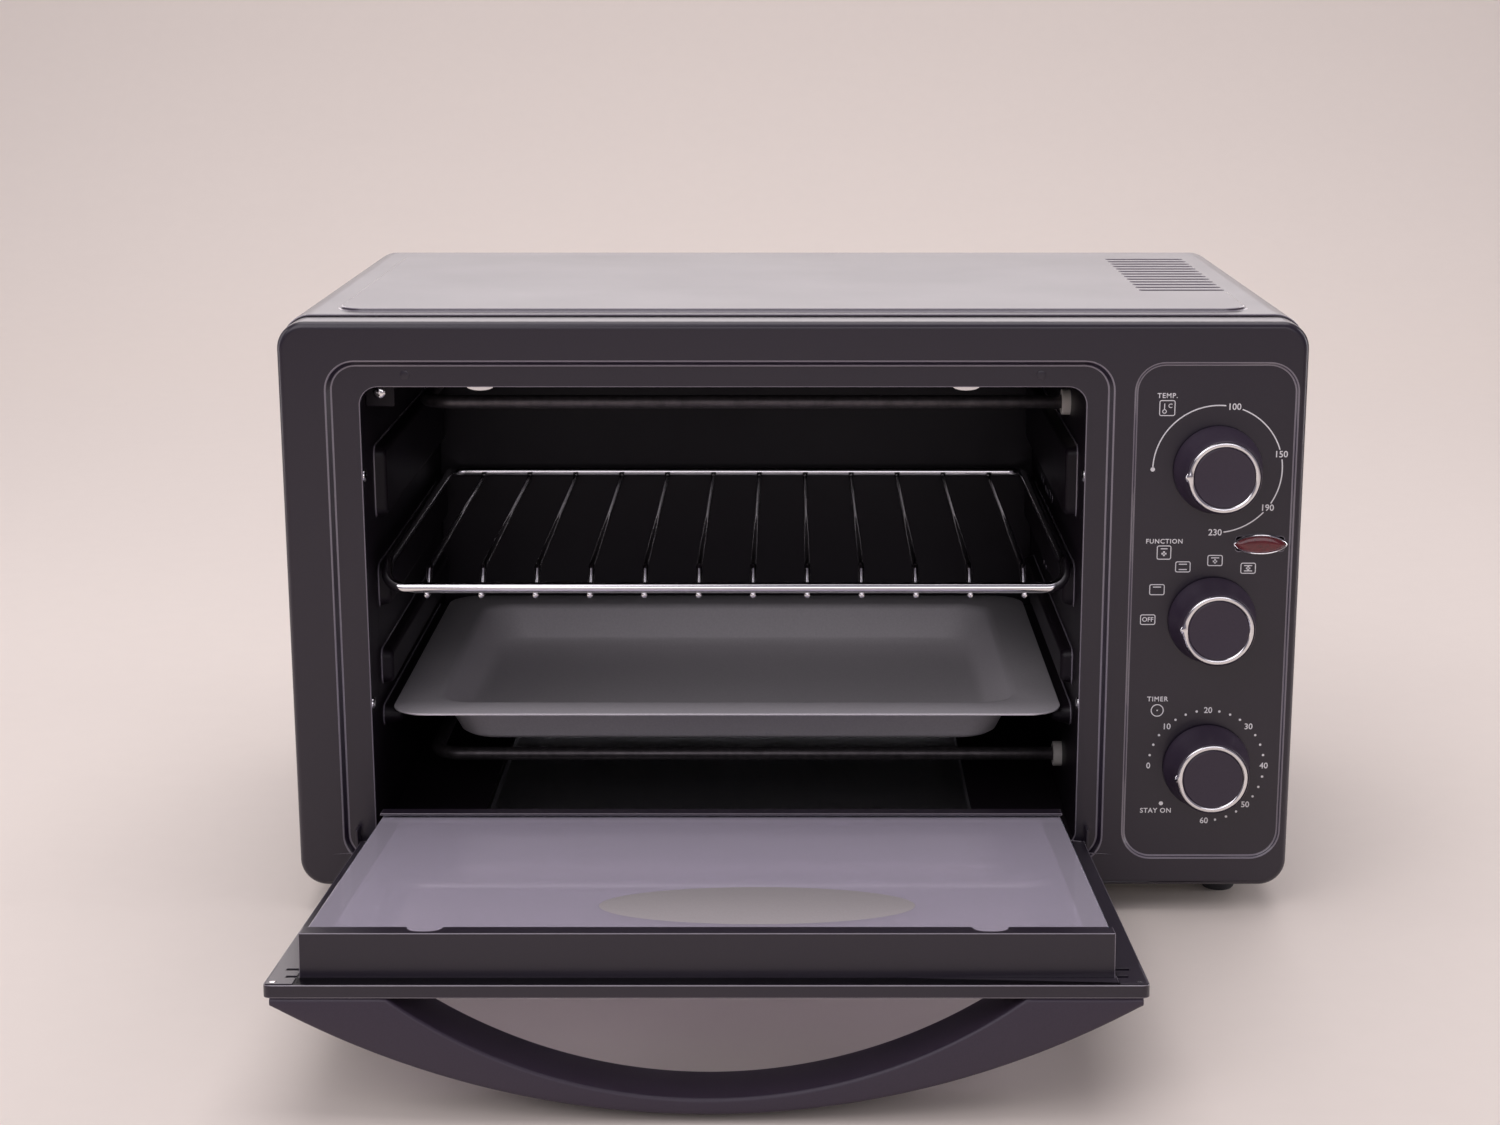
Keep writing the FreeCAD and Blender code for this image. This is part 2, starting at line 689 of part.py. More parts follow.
def base_and_feet():
    level = "foot_height + metal"
    plate = box("corner_round - half", "half - corner_round", "cover_front",
                "panel_y - panel_lip - metal", level, f"{level} + metal")
    holes = [rod("foot_screw", "metal * 2", foot_x(side), end, "foot_height", "z")
             for side, end in FEET]
    named("base_plate", cut(plate, *holes))
    for (side, end), name in zip(FEET, ("front_left", "rear_left", "front_right", "rear_right")):
        foot = doc.addObject("Part::Cone", "Foot")
        bind(foot, "Radius1", "foot_radius - foot_taper")
        bind(foot, "Radius2", "foot_radius")
        bind(foot, "Height", "foot_height")
        place(foot, foot_x(side), end, "0")
        socket = rod("foot_screw", "foot_height", foot_x(side), end, "foot_height / 2", "z")
        named("foot_" + name, cut(foot, socket))
    screws = [rod("foot_screw - foot_screw_clear", "foot_height / 2", foot_x(side), end,
                  "foot_height / 2", "z") for side, end in FEET]
    named("foot_screws", group(*screws))


def cavity():
    x0, x1, z0, z1 = "wall_left", "wall_right", "floor", "roof"
    outer = ("face_back", "cavity_back")
    tab = box(x0, f"{x0} + screw_tab", "screw_tab_y", "screw_tab_y + liner", f"{z1} - screw_tab", z1)
    named("cavity_roof", fuse(box(x0, x1, *outer, z1, f"{z1} + liner"), tab))
    named("cavity_screw", group(rod("screw_head", "screw_high", f"{x0} + screw_tab / 2",
                                    "screw_tab_y - screw_high", f"{z1} - screw_tab / 2", "y")))
    window = box(f"{x0} + floor_rim", f"{x1} - floor_rim", "face_back + floor_rim",
                 "cavity_back - floor_rim", f"{z0} - liner", z0)
    named("cavity_floor", cut(box(x0, x1, *outer, f"{z0} - liner", z0), window))
    named("cavity_back_wall", group(box(x0, x1, "cavity_back", "cavity_back + liner", z0, z1)))
    pan_guard = "pan_shelf + pan_slot"
    ridges = (("pan_shelf - pan_ledge_thick", "pan_shelf", "pan_ledge_reach"),
              (pan_guard, f"{pan_guard} + pan_guard_thick", "ridge_reach"),
              ("rack_shelf - rack_ledge_thick", "rack_shelf", "ridge_reach"),
              ("rack_shelf + rack_slot", "roof - guard_drop", "ridge_reach"))
    for label, inner, backward in (("cavity_left_wall", x0, False), ("cavity_right_wall", x1, True)):
        made = body(label)
        drawn = sketch(made, "YZ_Plane", inner)
        square(drawn, *outer, f"{z0} - liner", f"{z1} + liner")
        pad(made, drawn, "liner", backward=not backward)
        for low, high, reach in ridges:
            drawn = sketch(made, "YZ_Plane", inner)
            rounded(drawn, "ridge_front", "cavity_back - ridge_back", low, high, "ridge_round")
            pad(made, drawn, reach, "slope / 3", backward=backward)
        sign = "-" if backward else "+"
        crests = [at_level("X", f"{inner} {sign} {reach}")
                  for reach in ("pan_ledge_reach", "ridge_reach")]
        soften(made, "ridge_edge", lambda edge: any(crest(edge) for crest in crests))
        if backward:
            cut_fan_and_element_holes(made)


ELEMENT_ROWS = [(level, end) for level in ("roof - element_top", "floor + element_low")
                for end in ("element_front", "element_front + element_span")]


def cut_fan_and_element_holes(made):
    drawn = sketch(made, "YZ_Plane", "wall_right")
    for level, end in ELEMENT_ROWS:
        ring(drawn, end, level, "bead_radius")
    for circle, count in ((1, 6), (2, 12), (3, 18)):
        for step in range(count):
            arm, turn = f"fan_radius * {circle} / 4", 360 / count * step
            ring(drawn, f"fan_y + {arm} * cos({turn})", f"fan_z + {arm} * sin({turn})", "fan_hole")
    pocket(made, drawn, "liner")


# Heating and air

def point(x, y, z):
    return FreeCAD.Vector(number(x), number(y), number(z))


def heating():
    """Two U-shaped rods whose ends pass out through ceramic beads in the right wall."""
    far, near = "wall_left + ridge_reach + element_gap", "wall_right + element_end"
    front, back = "element_front", "element_front + element_span"
    beads = []
    for name, level in (("upper", "roof - element_top"), ("lower", "floor + element_low")):
        path = route([point(near, front, level), point(far, front, level),
                      point(far, back, level), point(near, back, level)],
                     number("element_radius * 4"))
        shaped(name + "_heating_element", pipe(path, number("element_radius")))
        beads += [cut(rod("bead_radius", "bead_length", "wall_right - bead_in", end, level, "x"),
                      rod("element_radius", "bead_length * 2", "wall_right - bead_length", end,
                          level, "x")) for end in (front, back)]
    named("element_beads", group(*beads))


def convection_fan():
    """A fan in a shallow case outside the right wall, turned by a motor on the case's back."""
    case_x, motor_x = "wall_right + liner", "wall_right + liner + fan_case_deep"
    axis = ("fan_y", "fan_z", "x")
    named("fan_case", cut(
        rod("fan_case_radius", "fan_case_deep", case_x, *axis),
        rod("fan_case_radius - liner", "fan_case_deep - liner", case_x, *axis),
        rod("fan_shaft * 2", "fan_case_deep * 2", case_x, *axis)))
    ears = box(motor_x, f"{motor_x} + liner * 2", "fan_y - motor_radius - ear_reach",
               "fan_y + motor_radius + ear_reach", "fan_z - ear_half", "fan_z + ear_half")
    named("fan_motor", cut(
        fuse(rod("motor_radius", "motor_deep", motor_x, *axis), ears),
        rod("fan_shaft + pin_clear", "shaft_in_motor", motor_x, *axis)))
    hub_x = case_x + " + fan_gap"
    named("fan_shaft", group(rod("fan_shaft", "fan_case_deep - fan_gap * 2 + shaft_in_motor",
                                 case_x + " + fan_gap", *axis)))
    blades = []
    count = int(number("fan_blades"))
    for step in range(count):
        blade = doc.addObject("Part::Box", "Blade")
        blade.Placement = FreeCAD.Placement(ORIGIN, FreeCAD.Rotation(X, 360 / count * step))
        bind(blade, "Length", "fan_deep")
        bind(blade, "Width", "metal")
        bind(blade, "Height", "fan_radius")
        place(blade, hub_x, "fan_y", "fan_z")
        blades.append(blade)
    named("fan_blade", cut(fuse(rod("fan_hub", "fan_deep", hub_x, *axis), *blades),
                           rod("fan_shaft", "fan_deep", hub_x, *axis)))


# Controls

CONTROLS = (("temperature", 1, "thermostat"), ("function", 0, "function_switch"),
            ("timer", -1, "timer_clockwork"))


def controls():
    """Each control is a case on a plate behind the front panel, with a shaft out to its knob."""
    for name, step, label in CONTROLS:
        level = f"knob_z + {step} * knob_pitch"
        front, case_y = "control_back", "control_back + metal"
        width, deep = name + "_case", name + "_deep"
        plate = box(f"knob_x - {width} / 2 - plate_ear", f"knob_x + {width} / 2 + plate_ear",
                    front, case_y, f"{level} - plate_half", f"{level} + plate_half")
        case = box(f"knob_x - {width} / 2", f"knob_x + {width} / 2", case_y, f"{case_y} + {deep}",
                   f"{level} - {width} / 2", f"{level} + {width} / 2")
        bush = rod("shaft_radius + pin_clear", "shaft_into_bush + metal", "knob_x", front, level, "y")
        named(label, cut(fuse(plate, case), bush))
        shaft_y = "control_depth - knob_gap - shaft_into_knob"
        named(name + "_shaft", group(rod("shaft_radius", f"{front} + shaft_into_bush - ({shaft_y})",
                                         "knob_x", shaft_y, level, "y")))
        knob(name, level, shaft_y)
    bell_y, level = "control_back + metal + timer_deep", "knob_z - knob_pitch"
    named("timer_bell", cut(rod("bell_radius", "bell_deep", "knob_x", bell_y, level, "y"),
                            rod("bell_radius - liner", "bell_deep - liner", "knob_x",
                                bell_y + " + liner", level, "y")))


def knob(name, level, shaft_y):
    """A flared knob, a bright ring let into its front, and a bore for its shaft."""
    front = "control_depth - knob_gap - knob_height"

    def ring_band():
        return cut(rod("knob_face - ring_edge", "ring_deep", "knob_x", front, level, "y"),
                   rod("knob_face - ring_edge - ring_width", "ring_deep", "knob_x", front, level,
                       "y"))

    flare = doc.addObject("Part::Cone", "Flare")
    flare.Placement = FreeCAD.Placement(ORIGIN, ALONG["y"])
    bind(flare, "Radius1", "knob_face")
    bind(flare, "Radius2", "knob_radius")
    bind(flare, "Height", "knob_height")
    place(flare, "knob_x", front, level)
    bore = rod("shaft_radius", "knob_height", "knob_x", shaft_y, level, "y")
    named(name + "_knob", cut(flare, ring_band(), bore))
    named(name + "_knob_ring", group(ring_band()))


def pilot_lamp():
    def lens_sketch(made, start, inset):
        drawn = sketch(made, "XZ_Plane", start)
        rounded(drawn, f"lamp_x - lamp_half + {inset}", f"lamp_x + lamp_half - {inset}",
                f"lamp_z - lamp_half_high + {inset}", f"lamp_z + lamp_half_high - {inset}",
                f"lamp_half_high - {inset} - least_side")
        return drawn
    made = body("pilot_bezel")
    pad(made, lens_sketch(made, "control_depth - lamp_proud", "0"), "lamp_proud")
    pocket(made, lens_sketch(made, "control_depth - lamp_proud", "bezel"), "lamp_proud")
    made = body("pilot_lens")
    pad(made, lens_sketch(made, "control_depth - lamp_proud", "bezel"), "lamp_proud")
    named("pilot_neon", group(rod("neon_radius", "neon_length", "lamp_x", "control_back + metal",
                                  "lamp_z", "y")))


def electrical():
    block_x = "half - gland_side"
    named("terminal_block", group(box(f"{block_x} - block_wide / 2", f"{block_x} + block_wide / 2",
                                      "panel_y - 2 * block_deep", "panel_y - block_deep",
                                      "foot_height + metal * 2", "foot_height + block_high")))
    gland = ("half - gland_side", "foot_height + gland_rise")
    collar = rod("gland_radius + gland_collar", "gland_collar", gland[0], "panel_y", gland[1], "y")
    barrel = rod("gland_radius", "panel_lip + gland_collar", gland[0], "panel_y - panel_lip",
                 gland[1], "y")
    passage = rod("gland_radius - gland_wall", "panel_lip * 3", gland[0], "panel_y - panel_lip * 1.5",
                  gland[1], "y")
    named("cord_inlet", cut(fuse(collar, barrel), passage))
    shield_x = "wall_right + liner + shield_gap"
    named("heat_shield", group(box(shield_x, f"{shield_x} + liner", "face_back",
                                   "element_front - shield_gap * 1.5", "floor", "roof")))


# Door, drawn closed

def door_sheet(label, plane_y, x0, x1, z0, z1, radius, length):
    made = body(label)
    drawn = sketch(made, "XZ_Plane", plane_y)
    rounded(drawn, x0, x1, z0, z1, radius)
    pad(made, drawn, length)
    return made


HANDLE_SCREWS = ("handle_x0 + handle_foot / 2", "handle_x1 - handle_foot / 2")
CLIPS = (("door_x0 + metal", "inner_x0 - metal"), ("inner_x1 + metal", "door_x1 - metal"))


def door():
    made = door_sheet("door_panel", "door_out", "door_x0", "door_x1", "hinge_z", "door_z1",
                      "door_round / 2", "door_thick")
    drawn = sketch(made, "YZ_Plane", "door_x0")
    ring(drawn, "hinge_y", "hinge_z", "door_thick / 2")
    pad(made, drawn, "door_x1 - door_x0")
    drawn = sketch(made, "XZ_Plane", "door_out + metal")
    square(drawn, "inner_x0", "inner_x1", "inner_z0", "inner_z1")
    pocket(made, drawn, "door_thick")
    drawn = sketch(made, "XZ_Plane", "door_out")
    rounded(drawn, "inner_x0 + window_margin", "inner_x1 - window_margin",
            "inner_z0 + window_margin", "inner_z1 - window_margin", "window_round")
    for x in HANDLE_SCREWS:
        ring(drawn, x, "door_z1 - handle_height / 2", "handle_screw")
    pocket(made, drawn, "metal")
    for x0, x1 in CLIPS:
        drawn = sketch(made, "XZ_Plane", "door_back - clip_sunk")
        rounded(drawn, x0, x1, "clip_z0", "clip_z1", "metal / 2")
        pocket(made, drawn, "clip_sunk")
    drawn = sketch(made, "YZ_Plane", "door_x0")
    ring(drawn, "hinge_y", "hinge_z", "pin_radius + pin_clear")
    pocket(made, drawn, "door_x1 - door_x0")

    floor_y = "door_out + metal"
    rails = {
        "door_top_rail": (
            box("inner_x0", "inner_x1", floor_y, "inner_y", "inner_z1 - metal", "inner_z1"),
            box("inner_x0", "inner_x1", "inner_y - metal", "inner_y", "inner_z1 - rail_lip",
                "inner_z1"),
            box("inner_x0", "inner_x1", floor_y, "glass_y", "inner_z1 - rail_lip",
                "inner_z1 - rail_lip + metal"),
            box("inner_x0", "inner_x1", floor_y, floor_y + " + metal", "inner_z1 - rail_lip",
                "inner_z1")),
        "door_bottom_rail": (
            box("inner_x0", "inner_x1", floor_y, "inner_y", "inner_z0", "inner_z0 + metal"),
            box("inner_x0", "inner_x1", "inner_y - metal", "inner_y", "inner_z0",
                "inner_z0 + rail_lip"),
            box("inner_x0", "inner_x1", floor_y, "glass_y", "inner_z0 + rail_lip - metal",
                "inner_z0 + rail_lip"),
            box("inner_x0", "inner_x1", floor_y, floor_y + " + metal", "inner_z0",
                "inner_z0 + rail_lip"))}
    for label, pieces in rails.items():
        named(label, fuse(*pieces))
    between = ("inner_z0 + rail_lip", "inner_z1 - rail_lip")
    named("door_left_rail", fuse(
        box("inner_x0", "inner_x0 + metal", floor_y, "glass_y", *between),
        box("inner_x0", "inner_x0 + rail_land", "glass_y - metal", "glass_y", *between)))
    named("door_right_rail", fuse(
        box("inner_x1 - metal", "inner_x1", floor_y, "glass_y", *between),
        box("inner_x1 - rail_land", "inner_x1", "glass_y - metal", "glass_y", *between)))
    door_sheet("door_glass", "glass_y", "inner_x0 + glass_clear", "inner_x1 - glass_clear",
               "inner_z0 + metal + glass_clear", "inner_z1 - metal - glass_clear", "metal",
               "glass_thick")
    for label, (x0, x1) in zip(("door_left_clip", "door_right_clip"), CLIPS):
        door_sheet(label, "door_back - clip_sunk", x0, x1, "clip_z0", "clip_z1", "metal / 2",
                   "clip_sunk + clip_proud")


def hinges():
    """A small bracket each side, on the recess, with a pin that runs into the door's rolled edge."""
    height = ("hinge_z - bracket_below", "hinge_z + bracket_above")
    brackets, pins = [], []
    for edge, sign in (("door_x0", "-"), ("door_x1", "+")):
        near = f"{edge} {sign} bracket_gap"
        far = f"{near} {sign} bracket_thick"
        ends = (far, near) if sign == "-" else (near, far)
        ear = box(*ends, "hinge_y - bracket_front", "recess_depth", *height)
        start = f"{edge} - bracket_gap - bracket_thick" if sign == "-" else f"{edge} - pin_reach"
        pin = rod("pin_radius", "pin_reach + bracket_gap + bracket_thick", start, "hinge_y",
                  "hinge_z", "x")
        hole = rod("pin_radius", "bracket_thick * 3", ends[0] + " - bracket_thick", "hinge_y",
                   "hinge_z", "x")
        brackets.append(cut(ear, hole))
        pins.append(pin)
    named("hinge_brackets", group(*brackets))
    named("hinge_pins", group(*pins))


def handle():
    """A bow of even height.  Its outer curve runs end to end and its inner curve spans the gap."""
    x0, x1, middle = (number(text) for text in ("handle_x0", "handle_x1", "handle_x"))
    back = number("door_out")
    top, low = number("door_z1"), number("door_z1 - handle_height")
    tip = back - number("handle_bulge")
    toe = back - number("handle_toe")
    foot = number("handle_foot")
    inner = tip + number("handle_middle")

    def spot(x, y):
        return FreeCAD.Vector(x, y, low)

    outline = Part.Wire([
        Part.LineSegment(spot(x0, back), spot(x0, toe)).toShape(),
        Part.Arc(spot(x0, toe), spot(middle, tip), spot(x1, toe)).toShape(),
        Part.LineSegment(spot(x1, toe), spot(x1, back)).toShape(),
        Part.LineSegment(spot(x1, back), spot(x1 - foot, back)).toShape(),
        Part.Arc(spot(x1 - foot, back), spot(middle, inner), spot(x0 + foot, back)).toShape(),
        Part.LineSegment(spot(x0 + foot, back), spot(x0, back)).toShape()])
    solid = Part.Face(outline).extrude(FreeCAD.Vector(0, 0, top - low))
    deep = number("handle_screw_in")
    for x in HANDLE_SCREWS:
        start = FreeCAD.Vector(number(x), back - deep, (top + low) / 2)
        solid = solid.cut(Part.makeCylinder(number("handle_screw"), deep, start, Y))
    shaped("door_handle", solid)
    screws = [rod("handle_screw", "handle_screw_in + metal", x, "door_out - handle_screw_in",
                  "door_z1 - handle_height / 2", "y") for x in HANDLE_SCREWS]
    named("handle_screws", group(*screws))


DOOR = ["door_panel", "door_top_rail", "door_bottom_rail", "door_left_rail", "door_right_rail",
        "door_glass", "door_left_clip", "door_right_clip", "door_handle", "handle_screws"]


# What slides

def rack():
    x0, x1 = number("left + rack_clear + rack_rod"), number("right - rack_clear - rack_rod")
    front, back = number("store_gap + rack_rod"), number("cavity_back - rack_back")
    level, dip = number("rack_z"), number("rack_z - rack_dip")
    V = FreeCAD.Vector
    lead = front + number("rack_lead")
    path = route([V(x0, back, level), V(x0, lead, level), V(x0, front, dip),
                  V(x1, front, dip), V(x1, lead, level), V(x1, back, level)],
                 number("rack_round"), closed=True)
    frame = pipe(path, number("rack_rod"))
    thin, count = number("rack_wire"), int(number("rack_wires"))
    pitch = (x1 - x0) / (count + 0.5)
    hang = number("rack_rod + rack_wire - weld")
    top, under = level - hang, dip - hang
    tip, flat, risen = (front + number(text) for text in ("-wire_tip", "wire_flat", "wire_level"))
    wires = []
    for step in range(count):
        x = (x0 + x1) / 2 + (step - (count - 1) / 2) * pitch
        wire = route([V(x, tip, under), V(x, flat, under), V(x, risen, top), V(x, back, top)],
                     thin * 2)
        wires.append(pipe(wire, thin))
    shaped("wire_rack", frame.fuse(wires).removeSplitter())


def frustum(x0, x1, y0, y1, z_top, z_low, radius, draft):
    """A tapering block with round corners, wider at the top."""
    rings = []
    for level, shrink in ((z_top, 0), (z_low, draft)):
        outline = rounded_outline(x0 + shrink, x1 - shrink, y0 + shrink, y1 - shrink, radius, level)
        rings.append(outline)
    return Part.makeLoft(rings, True, True)


def rounded_outline(x0, x1, y0, y1, radius, level):
    V = FreeCAD.Vector
    corners = [V(x0, y0, level), V(x1, y0, level), V(x1, y1, level), V(x0, y1, level)]
    return route(corners, radius, closed=True)


def baking_pan():
    half_wide = number("pan_width / 2")
    x0, x1 = number("middle") - half_wide, number("middle") + half_wide
    y0 = number("store_gap - 1")
    y1 = y0 + number("pan_length")
    z0, metal = number("pan_z"), number("pan_metal")
    rim, deep, draft = number("pan_rim"), number("pan_deep"), number("pan_draft")
    turn = number("pan_round")
    flat = Part.Face(rounded_outline(x0, x1, y0, y1, turn, z0)).extrude(FreeCAD.Vector(0, 0, metal))
    outer = frustum(x0 + rim, x1 - rim, y0 + rim, y1 - rim, z0 + metal, z0 - deep + metal, turn,
                    draft)
    inner = frustum(x0 + rim + metal, x1 - rim - metal, y0 + rim + metal, y1 - rim - metal,
                    z0 + metal, z0 - deep + metal * 2, turn - metal, draft)
    shaped("baking_pan", flat.fuse(outer).cut(inner).removeSplitter())


def crumb_tray():
    """A shallow tray under the cavity, with its front flush with the panel, on four runners."""
    low, high, end = "foot_height + tray_low", "foot_height + tray_low + tray_high", "tray_end"
    side = high + " - metal * 1.5"
    shell = cut(box("tray_x0", "tray_x1", "0", end, low, side),
                box("tray_x0 + metal", "tray_x1 - metal", "metal", end + " - metal",
                    low + " + metal", high))
    front = box("tray_x0", "tray_x1", "-metal", "metal", low, high)
    pull = box("tray_x0 + tray_width / 3", "tray_x1 - tray_width / 3", "-metal - tray_pull",
               "-metal", high + " - metal * 2", high)
    named("crumb_tray", fuse(shell, front, pull))
    base, run = "foot_height + metal * 2", ("cover_front", end)
    sides = [box(x0, x1, *run, base, high + " - metal * 2")
             for x0, x1 in (("tray_x0 - runner", "tray_x0 - lift"),
                            ("tray_x1 + lift", "tray_x1 + runner"))]
    beds = [box(x0, x1, *run, base, low + " - lift")
            for x0, x1 in (("tray_x0 + runner", "tray_x0 + runner * 2"),
                           ("tray_x1 - runner * 2", "tray_x1 - runner"))]
    named("crumb_tray_guides", group(*sides, *beds))


# Small fixings

def fixings():
    spacers = [rod("spacer_radius", "spacer_length + panel_inset", x, "panel_y",
                   "body_top - spacer_drop", "y") for x in ("spacer_side - half", "half - spacer_side")]
    named("rear_spacers", group(*spacers))
    rows = [(x, z) for x in ("screw_edge - half", "0", "half - screw_edge")
            for z in ("foot_height + screw_edge", "body_top - screw_edge")]
    screws = [rod("screw_head", "screw_high", x, "panel_y", z, "y") for x, z in rows]
    named("panel_screws", group(*screws))
    catches = [box(f"{x} - catch_width / 2", f"{x} + catch_width / 2", "face_back",
                   "face_back + catch_deep", "roof - catch_drop", "roof")
               for x in ("middle - catch_span / 2", "middle + catch_span / 2")]
    named("door_catches", group(*catches))


front_fascia()
outer_cover()
rear_panel()
base_and_feet()
cavity()
heating()
convection_fan()
controls()
pilot_lamp()
electrical()
door()
hinges()
handle()
rack()
baking_pan()
crumb_tray()
fixings()
doc.recompute()

for label, thing in SUB_PARTS:
    thing.Label = label
    if label in DOOR:
        thing.Placement = FreeCAD.Placement(ORIGIN, FreeCAD.Rotation(X, number("open_angle")))
        bind(thing, "Placement.Rotation.Angle", "open_angle")
        place(thing, "0", "face_y + hinge_y - hinge_y * cos(open_angle) + hinge_z * sin(open_angle)",
              "hinge_z - hinge_y * sin(open_angle) - hinge_z * cos(open_angle)")
    else:
        bind(thing, "Placement.Base.y", "face_y")
doc.recompute()
doc.removeObject("Probe")

for thing in doc.Objects:
    if "Invalid" in thing.State or "Error" in thing.State:
        raise RuntimeError(f"{thing.Name} ({thing.Label}) did not build: {thing.State}")
os.makedirs("parts", exist_ok=True)
for label, thing in SUB_PARTS:
    shape = thing.Shape
    if shape.isNull() or not shape.isValid() or not shape.Solids:
        raise RuntimeError(label + " has no sound solid")
    shape.exportStep(f"parts/{label}.step")
    reach = shape.BoundBox
    print(f"{label:24s} solids {len(shape.Solids):3d}  volume {shape.Volume:10.0f}  "
          f"X {reach.XMin:7.1f} {reach.XMax:7.1f}  Y {reach.YMin:7.1f} {reach.YMax:7.1f}  "
          f"Z {reach.ZMin:6.1f} {reach.ZMax:6.1f}")
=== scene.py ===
import json
import math

import bmesh
import bpy
from bpy.props import FloatProperty, FloatVectorProperty, IntProperty, PointerProperty
from mathutils import Matrix, Vector


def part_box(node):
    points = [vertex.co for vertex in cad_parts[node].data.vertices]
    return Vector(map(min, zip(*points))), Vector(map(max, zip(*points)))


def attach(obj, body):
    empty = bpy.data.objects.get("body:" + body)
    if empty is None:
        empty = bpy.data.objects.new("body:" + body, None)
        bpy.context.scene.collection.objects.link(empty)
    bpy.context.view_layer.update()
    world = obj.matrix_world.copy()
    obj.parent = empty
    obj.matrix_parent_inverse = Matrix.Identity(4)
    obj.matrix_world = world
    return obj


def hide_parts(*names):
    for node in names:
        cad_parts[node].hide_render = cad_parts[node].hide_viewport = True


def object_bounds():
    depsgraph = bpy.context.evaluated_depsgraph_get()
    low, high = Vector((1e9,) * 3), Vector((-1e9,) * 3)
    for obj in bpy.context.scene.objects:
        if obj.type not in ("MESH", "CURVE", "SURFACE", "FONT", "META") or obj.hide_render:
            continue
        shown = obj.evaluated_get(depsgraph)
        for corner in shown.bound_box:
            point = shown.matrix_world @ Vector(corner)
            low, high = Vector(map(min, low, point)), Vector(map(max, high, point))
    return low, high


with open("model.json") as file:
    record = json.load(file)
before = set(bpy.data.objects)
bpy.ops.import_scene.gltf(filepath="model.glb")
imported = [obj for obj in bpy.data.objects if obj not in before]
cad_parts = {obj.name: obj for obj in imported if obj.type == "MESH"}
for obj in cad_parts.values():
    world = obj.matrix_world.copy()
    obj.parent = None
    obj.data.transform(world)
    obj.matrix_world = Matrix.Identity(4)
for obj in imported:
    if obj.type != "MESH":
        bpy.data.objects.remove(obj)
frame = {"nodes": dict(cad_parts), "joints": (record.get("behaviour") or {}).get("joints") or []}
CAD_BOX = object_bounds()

bl_info = {
    "name": "Toaster Oven",
    "version": (1, 0, 0),
    "blender": (4, 5, 0),
    "location": "3D View > Sidebar > Oven",
    "description": "Builds the pieces and finishes of a countertop toaster oven round its frame",
    "category": "Object",
}

# The oven faces -Y, with +X towards its controls and +Z up.  Everything is in metres.

MM = 0.001
FACE_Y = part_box("front_fascia")[0].y
JOINTS = {joint["name"]: joint for joint in frame["joints"]}
HINGE = Vector(JOINTS["door_hinge"]["pos_m"])
DOOR_SWING = -math.radians(JOINTS["door_hinge"]["range_deg"][0])

# Takes a place on the closed door to where it is with the door open
OPEN_DOOR = (Matrix.Translation(HINGE) @ Matrix.Rotation(DOOR_SWING, 4, "X")
             @ Matrix.Translation(-HINGE))


# ---------------------------------------------------------------------------------------------
# Measuring the frame

def closed_box(node):
    """Lowest and highest corner of one of the door's pieces with the door closed."""
    back = OPEN_DOOR.inverted()
    spots = [back @ vertex.co for vertex in frame["nodes"][node].data.vertices]
    low = Vector(min(spot[axis] for spot in spots) for axis in range(3))
    high = Vector(max(spot[axis] for spot in spots) for axis in range(3))
    return low, high


def knob_spot(control):
    """Middle of a knob on the field that it stands on."""
    low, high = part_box(control + "_knob")
    return Vector(((low.x + high.x) / 2, high.y, (low.z + high.z) / 2))


# ---------------------------------------------------------------------------------------------
# Making meshes

def link(name, mesh, crease):
    mesh.shade_smooth()
    mesh.set_sharp_from_angle(angle=math.radians(crease))
    piece = bpy.data.objects.new(name, mesh)
    bpy.context.collection.objects.link(piece)
    return piece


def piece_from(name, bm, crease=35):
    """A piece made from a bmesh.  Turns sharper than the crease stay sharp."""
    bmesh.ops.remove_doubles(bm, verts=bm.verts, dist=1e-6)
    bmesh.ops.recalc_face_normals(bm, faces=bm.faces)
    mesh = bpy.data.meshes.new(name)
    bm.to_mesh(mesh)
    bm.free()
    return link(name, mesh, crease)


def seat(piece, body, material, replaced=()):
    """Gives a piece its finish and the body that it rides on.  Printing has no slot of its own."""
    piece.data.materials.clear()
    piece.data.materials.append(material)
    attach(piece, body)
    if replaced:
        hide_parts(*replaced)
    return piece


def loft(bm, rings, closed=False, caps=True):
    """Joins rings of equally many points with faces."""
    rows = [[bm.verts.new(spot) for spot in ring] for ring in rings]
    pairs = list(zip(rows, rows[1:])) + ([(rows[-1], rows[0])] if closed else [])
    for near, far in pairs:
        for index in range(len(near)):
            after = (index + 1) % len(near)
            bm.faces.new((near[index], near[after], far[after], far[index]))
    if caps and not closed:
        bm.faces.new(rows[0])
        bm.faces.new(list(reversed(rows[-1])))


def circle(centre, radius, axis, steps=64):
    """Points round a circle that faces along an axis."""
    side, up = {"x": ((0, 1, 0), (0, 0, 1)), "y": ((1, 0, 0), (0, 0, 1)),
                "z": ((1, 0, 0), (0, 1, 0))}[axis]
    turns = [2 * math.pi * step / steps for step in range(steps)]
    return [Vector(centre) + radius * (Vector(side) * math.cos(turn) + Vector(up) * math.sin(turn))
            for turn in turns]


def lathe(bm, centre, axis, profile, steps=64):
    """Turns a profile of (radius, distance along the axis) into a solid."""
    along = Vector({"x": (1, 0, 0), "y": (0, 1, 0), "z": (0, 0, 1)}[axis])
    loft(bm, [circle(Vector(centre) + along * far, radius, axis, steps) for radius, far in profile])


